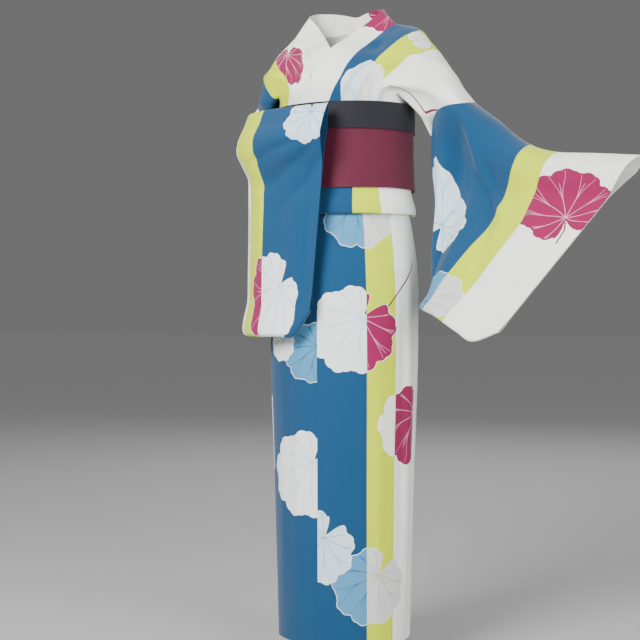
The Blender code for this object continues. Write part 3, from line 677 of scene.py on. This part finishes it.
def ease(points, first_column, rounds):
    """Lets the cloth between the first column and the sleeve seam settle halfway to its neighbours."""
    for _ in range(rounds):
        inside = points[1:-1, first_column:-1]
        beside = points[1:-1, first_column - 1 : -2] + points[1:-1, first_column + 1 :]
        above = points[:-2, first_column:-1] + points[2:, first_column:-1]
        settled = points.copy()
        settled[1:-1, first_column:-1] = inside / 2 + (beside + above) / 8
        points = settled
    return points


def upper_rows(stations, table, back_ring, front_ring, layer):
    """Rows over the shoulder between the last ring row of the back and that of the front."""
    knots = station_points(stations, table, layer - RIGHT_LAYERS[2])
    inner = list(STATION_COLUMNS)
    back_ends = [back_ring[row][inner] for row in (-2, -1)]
    front_ends = [front_ring[row][inner] for row in (-1, -2)]
    knots = np.concatenate([back_ends, knots, front_ends])
    seam = [row[4] if np.isscalar(row[4]) else None for row in stations]
    wanted = []
    for place in range(1, len(knots) - 2):
        wanted += [place + 0.5, place + 1.0]
    wanted = wanted[:-1]
    rows = []
    for place, row in zip(wanted, smooth_curve(np.arange(0.0, len(knots)), knots, wanted)):
        low, high = int(math.floor(place)) - 2, int(math.ceil(place)) - 2
        if 0 <= low and high < len(seam) and seam[low] is not None and seam[high] is not None:
            row[3] = sleeve_point(table, 0.0, (seam[low] + seam[high]) / 2)
        rows.append(smooth_curve(inner, row, np.arange(BODY_COLUMNS + 1)))
    edged = np.concatenate([back_ring[-1:], rows, front_ring[-1:]])
    return ease(edged, EASED_FROM, EASE_ROUNDS)[1:-1]


def grid_normals(points, closed=False):
    """The mean way out of the faces round each point of a grid, whose columns may run in a ring."""
    if closed:
        points = np.concatenate([points[:, -1:], points, points[:, :1]], axis=1)
    total = np.zeros_like(points)
    down = points[1:] - points[:-1]
    across = points[:, 1:] - points[:, :-1]
    for row in (0, 1):
        for column in (0, 1):
            beside = across[row : len(across) - 1 + row]
            along = down[:, column : down.shape[1] - 1 + column]
            corner = unit(np.cross(beside, along))
            total[row : total.shape[0] - 1 + row, column : total.shape[1] - 1 + column] += corner
    return unit(total[:, 1:-1] if closed else total)


def body_grid(side, stations, table, front_layers):
    """Mid-surface of one body panel from its back hem to its front hem."""
    back = folded_rows(
        side,
        BODY_COLUMNS,
        lambda z, row: half_ring(z) - SEAM / 2,
        lambda z, row: SIDE_SHARE * half_ring(z) + SEAM / 2,
        lambda share: BACK_LAYERS,
    )
    front = folded_rows(
        side,
        BODY_COLUMNS,
        lambda z, row: okumi_seam(z, row) + SEAM / 2,
        lambda z, row: SIDE_SHARE * half_ring(z) - SEAM / 2,
        lambda share: blend_layers(front_layers, share),
    )
    upper = upper_rows(stations, table, back, front, front_layers[2])
    settle_on_chest(upper, front_layers[2] - RIGHT_LAYERS[2])
    upper[:, 0, 0] = side * np.maximum(side * upper[:, 0, 0], SEAM / 2)
    return np.concatenate([back, upper, front[::-1]]), len(back), len(upper)


def okumi_grid(side, layers, seam_points):
    """The overlap panel: on the rings through the fold, then a wedge up the chest to the collar."""
    points = folded_rows(
        side,
        OKUMI_COLUMNS,
        lambda z, row: okumi_seam(z, row) - SEAM / 2,
        lambda z, row: okumi_edge(z, row),
        lambda share: layers,
    )
    tip = seam_points[-1]
    wedge = []
    for seam_x, _, z in seam_points:
        share = (z - CHEST_Z) / (tip[2] - CHEST_Z)
        edge_x = side * COLLAR_SEAM_AT_OBI * (1 - share) + (tip[0] - side * OKUMI_TIP) * share
        xs = np.linspace(seam_x - side * SEAM, edge_x, OKUMI_COLUMNS + 1)
        wedge.append([(x, chest_y(x, z) - (layers[2] - RIGHT_LAYERS[2]), z) for x in xs])
    return np.concatenate([points, np.array(wedge)])


def collar_half(side, layers, neckline, okumi):
    """One half of the collar, in rows from the nape down to its end under the obi."""
    gap = layers[2] - RIGHT_LAYERS[2]
    knots = []
    for _, (x, y, z) in COLLAR_EDGE:
        knots.append((side * x, chest_y(x, z) - gap if y is None else y, z))
    seam = np.concatenate([neckline, okumi[::-1]])
    free = smooth_curve(np.arange(len(knots)), knots, np.linspace(0, len(knots) - 1, len(seam)))
    start = seam + unit(free - seam) * COLLAR_GAP
    shares = np.linspace(0.0, 1.0, COLLAR_COLUMNS + 1)[None, :, None]
    upper = settle_on_chest(start[:, None] * (1 - shares) + free[:, None] * shares, gap)
    low = []
    for z in COLLAR_LOW_HEIGHTS:
        along = okumi_edge(z, first_up_row()) - COLLAR_GAP
        low.append(
            [
                ring_point(z + COLLAR_RISE * share, side * (along - COLLAR_REACH * share), layers[2])
                for share in shares.ravel()
            ]
        )
    return np.concatenate([upper, np.array(low)])


def sleeve_places():
    """Shares across the sleeve to the cuff, and shares down it, negative at the back."""
    down = SEAM_SAMPLES + BAG_SAMPLES
    across = [SEAM / SLEEVE_WIDTH] + [column / SLEEVE_COLUMNS for column in range(1, SLEEVE_COLUMNS + 1)]
    return across, [-v for v in reversed(down)] + [0.0] + list(down)


def sleeve_grid(table):
    """Rings of a sleeve from the armhole to the cuff, each run from the back's bottom over the top."""
    across, around = sleeve_places()
    return np.array([[sleeve_point(table, u, v) for v in around] for u in across])


def band_grid(low, high, layer, half_width=None, rows=BAND_ROWS, columns=OBI_COLUMNS):
    """A band on the rings between two heights, right round or to each side of the middle of the back."""
    points = np.zeros((rows, columns if half_width is None else columns + 1, 3))
    for row, z in enumerate(np.linspace(low, high, rows)):
        half = half_ring(z)
        if half_width is None:
            places = np.linspace(-half, half, columns + 1)[:-1]
        else:
            places = np.linspace(half - half_width, half + half_width, columns + 1)
            places = np.where(places > half, places - 2 * half, places)
        for column, along in enumerate(places):
            points[row, column] = ring_point(z, along, layer)
    return points


def build_side(side, stations, sleeve_table, layers):
    """The body panel, the overlap panel, the sleeve and the half collar of one side."""
    body, back_rows, upper_count = body_grid(side, stations, sleeve_table, layers)
    first = back_rows + ROWS_TO_PIT
    last = first + 2 * len(SEAM_SAMPLES)
    okumi = okumi_grid(side, layers, body[last + 1 : back_rows + upper_count, 0][::-1])
    neckline = body[first : last + 1, 0].copy()
    neckline[0, 0] = 0.0
    wedge = okumi[len(fold_profile(BACK_LAYERS)) - 1 :, -1]
    return body, okumi, sleeve_grid(sleeve_table), collar_half(side, layers, neckline, wedge)


class Field:
    """A number that varies over the cloth. Arithmetic on it adds nodes to its tree."""

    def __init__(self, tree, socket):
        self.tree = tree
        self.socket = socket

    def math(self, operation, *others):
        return math_node(self.tree, operation, self, *others)

    def past(self, edge, softness):
        """0 below the edge and 1 above it, with a soft change."""
        inputs = {"Value": self, "From Min": edge - softness, "From Max": edge + softness}
        made = node(self.tree, "ShaderNodeMapRange", inputs, interpolation_type="SMOOTHSTEP")
        return Field(self.tree, made.outputs["Result"])

    def sine(self):
        return self.math("SINE")

    def __abs__(self):
        return self.math("ABSOLUTE")

    def __add__(self, other):
        return self.math("ADD", other)

    def __sub__(self, other):
        return self.math("SUBTRACT", other)

    def __rsub__(self, other):
        return math_node(self.tree, "SUBTRACT", other, self)

    def __mul__(self, other):
        return self.math("MULTIPLY", other)

    def __truediv__(self, other):
        return self.math("DIVIDE", other)


def put(tree, socket, value):
    """Links a field or a colour made by nodes to a socket, or sets a plain value on it."""
    if isinstance(value, Field):
        tree.links.new(value.socket, socket)
    elif isinstance(value, bpy.types.NodeSocket):
        tree.links.new(value, socket)
    elif socket.type == "RGBA":
        socket.default_value = (*value, 1.0)
    else:
        socket.default_value = value


def node(tree, kind, inputs=None, **settings):
    made = tree.nodes.new(kind)
    for key, value in settings.items():
        setattr(made, key, value)
    for key, value in (inputs or {}).items():
        put(tree, made.inputs[key], value)
    return made


def math_node(tree, operation, *values):
    made = node(tree, "ShaderNodeMath", dict(enumerate(values)), operation=operation)
    return Field(tree, made.outputs[0])


def distance(x, y):
    return (x * x + y * y).math("SQRT")


def noise(tree, scale, detail, roughness=0.5):
    inputs = {"Scale": scale, "Detail": detail, "Roughness": roughness}
    return Field(tree, node(tree, "ShaderNodeTexNoise", inputs).outputs[0])


def mix_color(share, low, high):
    """The colour low where the share is 0, and high where it is 1."""
    made = node(share.tree, "ShaderNodeMix", {"Factor": share}, data_type="RGBA")
    put(share.tree, made.inputs[MIX_LOW], low)
    put(share.tree, made.inputs[MIX_HIGH], high)
    return made.outputs[MIX_RESULT]


def leaf_edge(around, radius):
    """How far the leaf reaches each way from its centre: lobes, small scallops and a notch behind."""
    lobes = abs((around * LOBE_TURNS + LOBE_START).sine())
    scallops = abs((around * SCALLOP_TURNS + SCALLOP_START).sine())
    notch = 1.0 - (math.pi - abs(around)).past(NOTCH_ANGLE, NOTCH_SOFTNESS)
    return (lobes * LOBE_DEPTH + scallops * SCALLOP_DEPTH + LEAF_REACH - notch * NOTCH_DEPTH) * radius


def leaf_veins(x, y, radius):
    """Lines that spread from the stem's joint, each with a fork towards the leaf's edge."""
    length = distance(x, y)
    share = length / radius
    bearing = y.math("ARCTAN2", x) + (share * VEIN_WAVES).sine() * VEIN_SWAY
    place = (bearing / VEIN_STEP + VEIN_OFFSET).math("FRACT")
    off = abs(place - 0.5) * VEIN_STEP
    width = share * VEIN_TAPER + VEIN_WIDTH
    main = 1.0 - (off * length - width).past(0.0, LINE_SOFTNESS)
    spread = share.past(FORK_MIDDLE, FORK_LENGTH) * FORK_SPREAD
    fork = 1.0 - (abs(off - spread) * length - width * FORK_WIDTH).past(0.0, LINE_SOFTNESS)
    main = main * (1.0 - share.past(*MAIN_END))
    veins = main.math("MAXIMUM", fork * share.past(*FORK_START))
    return veins * (VEINS_WITHIN - abs(bearing)).past(0.0, VEINS_WITHIN_SOFTNESS)


def leaf_group():
    """A scalloped round leaf: fill, veins and outline masks for a place on the cloth."""
    tree = bpy.data.node_groups.new("leaf", "ShaderNodeTree")
    for name in ("U", "V", *LEAF_INPUTS):
        tree.interface.new_socket(name, in_out="INPUT", socket_type="NodeSocketFloat")
    for name in ("Fill", "Veins", "Outline"):
        tree.interface.new_socket(name, in_out="OUTPUT", socket_type="NodeSocketFloat")
    sources = tree.nodes.new("NodeGroupInput").outputs[0:6]
    u, v, joint_u, joint_v, turn, radius = (Field(tree, socket) for socket in sources)
    du, dv = u - joint_u, v - joint_v
    cosine, sine = turn.math("COSINE"), turn.sine()
    x = du * cosine + dv * sine
    y = dv * cosine - du * sine
    centred = x - radius * LEAF_CENTRE
    inside = leaf_edge(y.math("ARCTAN2", centred), radius) - distance(centred, y)
    sink = tree.nodes.new("NodeGroupOutput")
    put(tree, sink.inputs["Fill"], inside.past(0.0, PRINT_SOFTNESS))
    put(tree, sink.inputs["Veins"], leaf_veins(x, y, radius) * inside.past(*VEIN_MARGIN))
    put(tree, sink.inputs["Outline"], inside.past(-LEAF_OUTLINE, PRINT_SOFTNESS))
    return tree


def stripe_mix(colors, past_blue, past_yellow):
    return mix_color(past_yellow, mix_color(past_blue, colors[0], colors[1]), colors[2])


def stem_mask(u, v, points):
    """The cloth near a bent line through the points."""
    mask = None
    for (u0, v0), (u1, v1) in zip(points, points[1:]):
        du, dv = u1 - u0, v1 - v0
        square = du * du + dv * dv
        along = (u - u0) * (du / square) + (v - v0) * (dv / square)
        along = along.math("MAXIMUM", 0.0).math("MINIMUM", 1.0)
        away = distance(u - u0 - along * du, v - v0 - along * dv)
        near = 1.0 - away.past(STEM_HALF_WIDTH, LINE_SOFTNESS)
        mask = near if mask is None else near.math("MAXIMUM", mask)
    return mask


def bump(tree, height, strength, reach):
    inputs = {"Strength": strength, "Distance": reach, "Height": height}
    return node(tree, "ShaderNodeBump", inputs).outputs["Normal"]


def weave_bump(u, v):
    """Plain weave: threads both ways, with slubs."""
    turns = 2 * math.pi / WEAVE_PITCH
    height = (u * turns).sine() * (v * turns).sine() + noise(u.tree, 260.0, 3.0, 0.6) * 2.0
    return bump(u.tree, height, 0.22, 0.0004)


def fabric_shader(tree, color, normal, roughness, sheen):
    shader = tree.nodes["Principled BSDF"]
    tree.links.new(color, shader.inputs["Base Color"])
    tree.links.new(normal, shader.inputs["Normal"])
    shader.inputs["Roughness"].default_value = roughness
    shader.inputs["Specular IOR Level"].default_value = SPECULAR
    shader.inputs["Sheen Weight"].default_value = sheen
    shader.inputs["Sheen Roughness"].default_value = SHEEN_ROUGHNESS


def cloth_place(tree):
    chart = node(tree, "ShaderNodeUVMap", uv_map="cloth")
    parts = node(tree, "ShaderNodeSeparateXYZ", {0: chart.outputs[0]})
    return Field(tree, parts.outputs[0]), Field(tree, parts.outputs[1])


def tone(tree, color, amount):
    """Slightly uneven dye and wear, at the size of a hand."""
    level = noise(tree, 14.0, 4.0, 0.65) * amount + (1.0 - amount / 2)
    grey = node(tree, "ShaderNodeCombineXYZ", {0: level, 1: level, 2: level})
    mixed = node(tree, "ShaderNodeMix", {"Factor": 1.0}, data_type="RGBA", blend_type="MULTIPLY")
    put(tree, mixed.inputs[MIX_LOW], color)
    put(tree, mixed.inputs[MIX_HIGH], grey.outputs[0])
    return mixed.outputs[MIX_RESULT]


def new_material(name):
    made = bpy.data.materials.new(name)
    made.use_nodes = True
    return made, made.node_tree


def printed_cotton(panel, leaf, ground=None):
    """The striped print with the panel's stems and leaves, or these on a plain ground."""
    made, tree = new_material("print_" + panel)
    u, v = cloth_place(tree)
    past = (u.past(BLUE_EDGE, STRIPE_SOFTNESS), u.past(YELLOW_EDGE, STRIPE_SOFTNESS))
    color = stripe_mix((ground,) * 3 if ground else STRIPES, *past)
    for points in STEMS.get(panel, ()):
        color = mix_color(stem_mask(u, v, points), color, STEM_COLOR)
    kinds = {}
    for kind, *places in LEAVES.get(panel, ()):
        if kind not in kinds:
            kinds[kind] = [stripe_mix(colors, *past) for colors in LEAF_KINDS[kind]]
        drawn = node(tree, "ShaderNodeGroup", node_tree=leaf)
        places[2] = math.radians(places[2])
        for key, value in zip(("U", "V", *LEAF_INPUTS), (u, v, *places)):
            put(tree, drawn.inputs[key], value)
        fill, veins, outline = (Field(tree, drawn.outputs[key]) for key in ("Fill", "Veins", "Outline"))
        outline = outline * (past[1] if kind == "cut" else 1.0)
        color = mix_color(outline, color, OUTLINE_COLOR)
        color = mix_color(fill, color, kinds[kind][0])
        color = mix_color(veins, color, kinds[kind][1])
    fabric_shader(tree, tone(tree, color, COTTON_UNEVEN), weave_bump(u, v), COTTON_ROUGHNESS, COTTON_SHEEN)
    return made


def woven_band(name, color):
    """The obi's firm weave, ribbed across its width, with painted shade darkening the grooves between the
    ribs.
    """
    made, tree = new_material(name)
    u, v = cloth_place(tree)
    ribs = (v * (2 * math.pi / OBI_RIB)).sine()
    across = (u * (2 * math.pi / (OBI_RIB * 0.6))).sine()
    normal = bump(tree, across * 0.3 + ribs + noise(tree, 180.0, 2.0), 0.30, 0.0005)
    # Painted shade: the colour darkens where the ribs' bump is low, in the grooves between them.
    groove_shade = tuple(part * OBI_RIB_SHADE for part in color)
    ribs_with_painted_shade = mix_color(ribs * 0.5 + 0.5, groove_shade, color)
    fabric_shader(tree, tone(tree, ribs_with_painted_shade, OBI_UNEVEN), normal, OBI_ROUGHNESS, OBI_SHEEN)
    return made


def spread_knots(points):
    """How far along the cloth each row of a grid lies."""
    steps = np.linalg.norm(np.diff(points, axis=0), axis=2).mean(axis=1)
    return np.concatenate([[0.0], np.cumsum(np.maximum(steps, 1e-5))])


def fine_places(knots):
    places = []
    for low, high in zip(knots, knots[1:]):
        count = max(1, math.ceil((high - low) / FINE_STEP))
        places += list(np.linspace(low, high, count + 1)[:-1])
    return np.array(places + [knots[-1]])


def refine(points, chart, closed):
    """A fine grid on a coarse one, and its chart; a ring of columns gets one more to close the chart."""
    if closed:
        points = np.concatenate([points[:, -2:], points, points[:, :3]], axis=1)
        gap = np.linalg.norm(points[:, 2] - points[:, -4], axis=1)[:, None]
        shift = np.stack([np.zeros_like(gap), gap], axis=2)
        before = [chart[:, :1] - 2 * shift, chart[:, :1] - shift]
        after = [chart[:, -1:] + count * shift for count in (1, 2, 3)]
        chart = np.concatenate([*before, chart, *after], axis=1)
    rows = spread_knots(points)
    columns = spread_knots(points.transpose(1, 0, 2))
    row_places = fine_places(rows)
    column_places = fine_places(columns)
    if closed:
        inside = (column_places >= columns[2] - 1e-9) & (column_places <= columns[-3] + 1e-9)
        column_places = column_places[inside]
    results = []
    for values in (points, chart):
        along = smooth_curve(rows, values, row_places)
        results.append(smooth_curve(columns, along.transpose(1, 0, 2), column_places).transpose(1, 0, 2))
    return results


def fold_height(chart, creases):
    """How far each place is pushed out by the soft folds, which fade towards their ends."""
    height = np.zeros(chart.shape[:2])
    for u0, v0, u1, v1, width, depth in creases:
        start, way = np.array([u0, v0]), np.array([u1 - u0, v1 - v0])
        share = np.clip(((chart - start) @ way) / (way @ way), 0.0, 1.0)
        away = np.linalg.norm(chart - start - share[..., None] * way, axis=2)
        fade = FOLD_END + (1 - FOLD_END) * np.sin(math.pi * np.clip(share, 0.02, 0.98)) ** FOLD_FADE
        height += depth * fade * np.exp(-((away / width) ** 2))
    return height


def seam_height(points, closed):
    """A slight roll down at the sewn side edges."""
    if closed:
        return np.zeros(points.shape[:2])
    columns = spread_knots(points.transpose(1, 0, 2))
    edge = np.minimum(columns, columns[-1] - columns)
    return np.tile(-SEAM_ROLL * np.exp(-((edge / SEAM_ROLL_WIDTH) ** 2)), (points.shape[0], 1))


def shell_faces(rows, columns, chart, closed):
    """Faces of both sides of a shell and of its edges, with the chart at each corner."""
    count = rows * columns
    numbers = np.arange(count).reshape(rows, columns)
    if closed:
        numbers = np.concatenate([numbers, numbers[:, :1]], axis=1)
    low, high = slice(None, -1), slice(1, None)
    corners = ((low, low), (low, high), (high, high), (high, low))
    outer = np.stack([numbers[corner].ravel() for corner in corners], axis=1)
    outer_chart = np.stack([chart[corner].reshape(-1, 2) for corner in corners], axis=1)
    faces = [outer, outer[:, ::-1] + count]
    charts = [outer_chart, outer_chart[:, ::-1]]
    edges = [(numbers[0], chart[0], 1), (numbers[-1], chart[-1], -1)]
    if not closed:
        edges += [(numbers[:, 0], chart[:, 0], -1), (numbers[:, -1], chart[:, -1], 1)]
    for line, places, order in edges:
        a, b = line[:-1], line[1:]
        faces.append(np.stack([a, a + count, b + count, b], axis=1)[:, ::order])
        near, far = places[:-1], places[1:]
        charts.append(np.stack([near, near, far, far], axis=1)[:, ::order])
    return np.concatenate(faces), np.concatenate(charts)


def cloth(name, points, chart, out, made_of, closed, thickness, lift):
    """A thin closed shell on a fine grid, with its chart as a UV map. The way out agrees with out."""
    if closed:
        points, lift = points[:, :-1], lift[:, :-1]
    normals = grid_normals(points, closed)
    if normals[out[0], out[1]] @ out[2] < 0:
        normals = -normals
    points = points + normals * lift[..., None]
    fresh = grid_normals(points, closed)
    normals = fresh * np.sign((fresh * normals).sum(axis=2, keepdims=True))
    half = normals * thickness / 2
    vertices = np.concatenate([(points + half).reshape(-1, 3), (points - half).reshape(-1, 3)])
    faces, charts = shell_faces(*points.shape[:2], chart, closed)
    if np.linalg.det(vertices[faces[:, :3]]).sum() < 0:
        faces, charts = faces[:, ::-1], charts[:, ::-1]
    mesh = bpy.data.meshes.new(name)
    mesh.from_pydata(vertices.tolist(), [], faces.tolist())
    layer = mesh.uv_layers.new(name="cloth")
    layer.data.foreach_set("uv", charts.reshape(-1).astype(np.float32))
    mesh.materials.append(made_of)
    mesh.shade_smooth()
    mesh.set_sharp_from_angle(angle=SHARP_ANGLE)
    return add_object(name, mesh)


def add_object(name, data):
    obj = bpy.data.objects.new(name, data)
    bpy.context.scene.collection.objects.link(obj)
    return obj


def body_chart(side, points):
    """The cloth's coordinates on a body panel: v runs from the front hem over the shoulder."""
    along = row_lengths(points)
    along = along[-1] - along
    cut = np.array(LEFT_CUT if side > 0 else RIGHT_CUT)
    inner = np.interp(along, cut[:, 0], cut[:, 1])
    outer = np.interp(along, cut[:, 0], cut[:, 2])
    shares = np.linspace(0.0, 1.0, points.shape[1])[None, :]
    u = inner[:, None] * (1 - shares) + outer[:, None] * shares
    if side < 0:
        u = BOLT - u
    return np.stack(np.broadcast_arrays(u, along[:, None]), axis=2)


def row_lengths(points):
    """How far each row of a grid is from its first one, along its middle column."""
    return spread_knots(points[:, points.shape[1] // 2 : points.shape[1] // 2 + 1])


def okumi_chart(side, points):
    shares = np.linspace(0.0, 1.0, points.shape[1])[None, :]
    low, high = LEFT_OKUMI_CUT if side > 0 else RIGHT_OKUMI_CUT
    u = low + (high - low) * shares
    return np.stack(np.broadcast_arrays(u, row_lengths(points)[:, None]), axis=2)


def sleeve_chart(side):
    """u runs from one edge of the bolt to the other, and v is the depth below the top, minus at the back."""
    across, around = (np.array(places) for places in sleeve_places())
    depth = around * SLEEVE_LENGTH
    if side > 0:
        eased = 1.0 + TOP_EASE * (1.0 - np.clip(np.abs(depth) / TOP_EASE_DEPTH, 0.0, 1.0))
        u = (LEFT_SLEEVE_START + SLEEVE_WIDTH * across)[:, None] * eased[None, :]
    else:
        u = (RIGHT_SLEEVE_START + SLEEVE_WIDTH * (1.0 - across) ** RIGHT_SLEEVE_POWER)[:, None]
    return np.stack(np.broadcast_arrays(u, depth[None, :]), axis=2)


def band_chart(points):
    around = spread_knots(points.transpose(1, 0, 2))
    up = spread_knots(points)
    return np.stack(np.broadcast_arrays(around[None, :], up[:, None]), axis=2)


def dress(name, points, chart, out, made_of, closed=False, thickness=CLOTH):
    """A fine shell with its folds, standing for the solid of the same name."""
    fine, fine_chart = refine(points, chart, closed)
    lift = fold_height(fine_chart, CREASES.get(name, ()))
    if name.endswith("sleeve"):
        lift = lift * np.clip(fine_chart[..., 1] / SLEEVE_TOP_CALM, -1.0, 1.0)
    lift = lift + seam_height(fine, closed)
    row = int(out[0] * (fine.shape[0] - 1))
    column = int(out[1] * (fine.shape[1] - 2))
    way = (row, column, np.array(out[2]))
    made = cloth(name + "_cloth", fine, fine_chart, way, made_of, closed, thickness, lift)
    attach(made, "root")
    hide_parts(name)
    return made


def make_robe():
    leaf = leaf_group()
    pieces = {}
    halves = []
    for side, name, stations, table, layers in (
        (1, "left_", LEFT_STATIONS, LEFT_SLEEVE, LEFT_LAYERS),
        (-1, "right_", RIGHT_STATIONS, RIGHT_SLEEVE, RIGHT_LAYERS),
    ):
        body, okumi, sleeve, half = build_side(side, stations, table, layers)
        halves.append(half)
        angle = sleeve_frame(table, 0.5)[1][0]
        facing = (math.cos(angle), math.sin(angle), 0.0)
        for panel, points, chart, out in (
            (name + "body", body, body_chart(side, body), (0.05, 0.3, BACKWARD)),
            (name + "okumi", okumi, okumi_chart(side, okumi), (0.05, 0.5, FORWARD)),
            (name + "sleeve", sleeve, sleeve_chart(side), (0.5, 0.62, facing)),
        ):
            made_of = printed_cotton(panel, leaf)
            pieces[panel] = dress(panel, points, chart, out, made_of, closed=panel.endswith("sleeve"))
    collar = np.concatenate([halves[1][::-1][:-1], halves[0]])
    made_of = printed_cotton("collar", leaf, WHITE)
    out = (0.5, 0.5, (0.0, 1.0, 0.3))
    pieces["collar"] = dress("collar", collar, band_chart(collar), out, made_of)
    return pieces


def make_obi():
    magenta = woven_band("obi_weave", OBI_MAGENTA)
    black = woven_band("obi_reverse_weave", OBI_BLACK)
    knot = (KNOT_BOTTOM_Z, KNOT_TOP_Z, KNOT_LAYER, KNOT_HALF_WIDTH, KNOT_ROWS)
    wrap = (KNOT_BAND_BOTTOM_Z, KNOT_BAND_TOP_Z, KNOT_BAND_LAYER, KNOT_HALF_WIDTH, BAND_ROWS)
    pieces = {}
    for name, grid, made_of, slot, closed, thick in (
        ("obi", (OBI_BOTTOM_Z, OBI_TOP_Z - OBI_STEP, OBI_LAYER), magenta, "obi_magenta", True, OBI_CLOTH),
        ("obi_fold", (OBI_FOLD_Z, OBI_TOP_Z, OBI_FOLD_LAYER), black, "obi_black", True, OBI_CLOTH),
        ("obi_knot", (*knot, KNOT_COLUMNS), magenta, "obi_magenta", False, KNOT_CLOTH),
        ("obi_knot_band", (*wrap, KNOT_COLUMNS), magenta, "obi_magenta", False, KNOT_BAND_CLOTH),
    ):
        points = band_grid(*grid)
        out = (0.5, 0.5, FORWARD if closed else BACKWARD)
        pieces[name] = dress(name, points, band_chart(points), out, made_of, closed, thick)
    return pieces


def make_camera():
    turn = math.radians(CAMERA_AZIMUTH)
    away = np.array([math.sin(turn), -math.cos(turn), 0.0])
    data = bpy.data.cameras.new("camera")
    data.lens = CAMERA_LENS
    camera = add_object("camera", data)
    camera.location = np.array(CAMERA_TARGET) + CAMERA_DISTANCE * away
    camera.rotation_euler = (math.radians(90.0), 0.0, turn)
    bpy.context.scene.camera = camera


def make_lights():
    for name, place, aim, size, power in LIGHTS:
        data = bpy.data.lights.new(name, "AREA")
        data.size = size
        data.energy = power
        light = add_object(name, data)
        light.location = place
        way = np.array(place) - np.array(aim)
        flat = math.hypot(way[0], way[1])
        light.rotation_euler = (math.atan2(flat, way[2]), 0.0, math.atan2(way[0], -way[1]))
    # An even light from above keeps the far floor as pale as the world behind it.
    sky = bpy.data.lights.new("sky", "SUN")
    sky.energy = SKY_POWER
    sky.angle = SKY_ANGLE
    add_object("sky", sky)


def make_stage():
    corners = [(x * FLOOR_HALF, y * FLOOR_HALF, FLOOR_Z) for x, y in ((-1, -1), (1, -1), (1, 1), (-1, 1))]
    data = bpy.data.meshes.new("floor")
    data.from_pydata(corners, [], [(0, 1, 2, 3)])
    made, tree = new_material("floor_paint")
    shader = tree.nodes["Principled BSDF"]
    put(tree, shader.inputs["Base Color"], mix_color(noise(tree, 3.0, 3.0), *FLOOR_GREYS))
    shader.inputs["Roughness"].default_value = FLOOR_ROUGHNESS
    data.materials.append(made)
    add_object("floor", data)
    world = bpy.data.worlds.new("studio")
    world.use_nodes = True
    world.node_tree.nodes["Background"].inputs[0].default_value = WORLD_GREY
    bpy.context.scene.world = world


def main():
    make_camera()
    make_stage()
    make_lights()
    pieces = make_robe()
    pieces.update(make_obi())
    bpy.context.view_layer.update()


main()
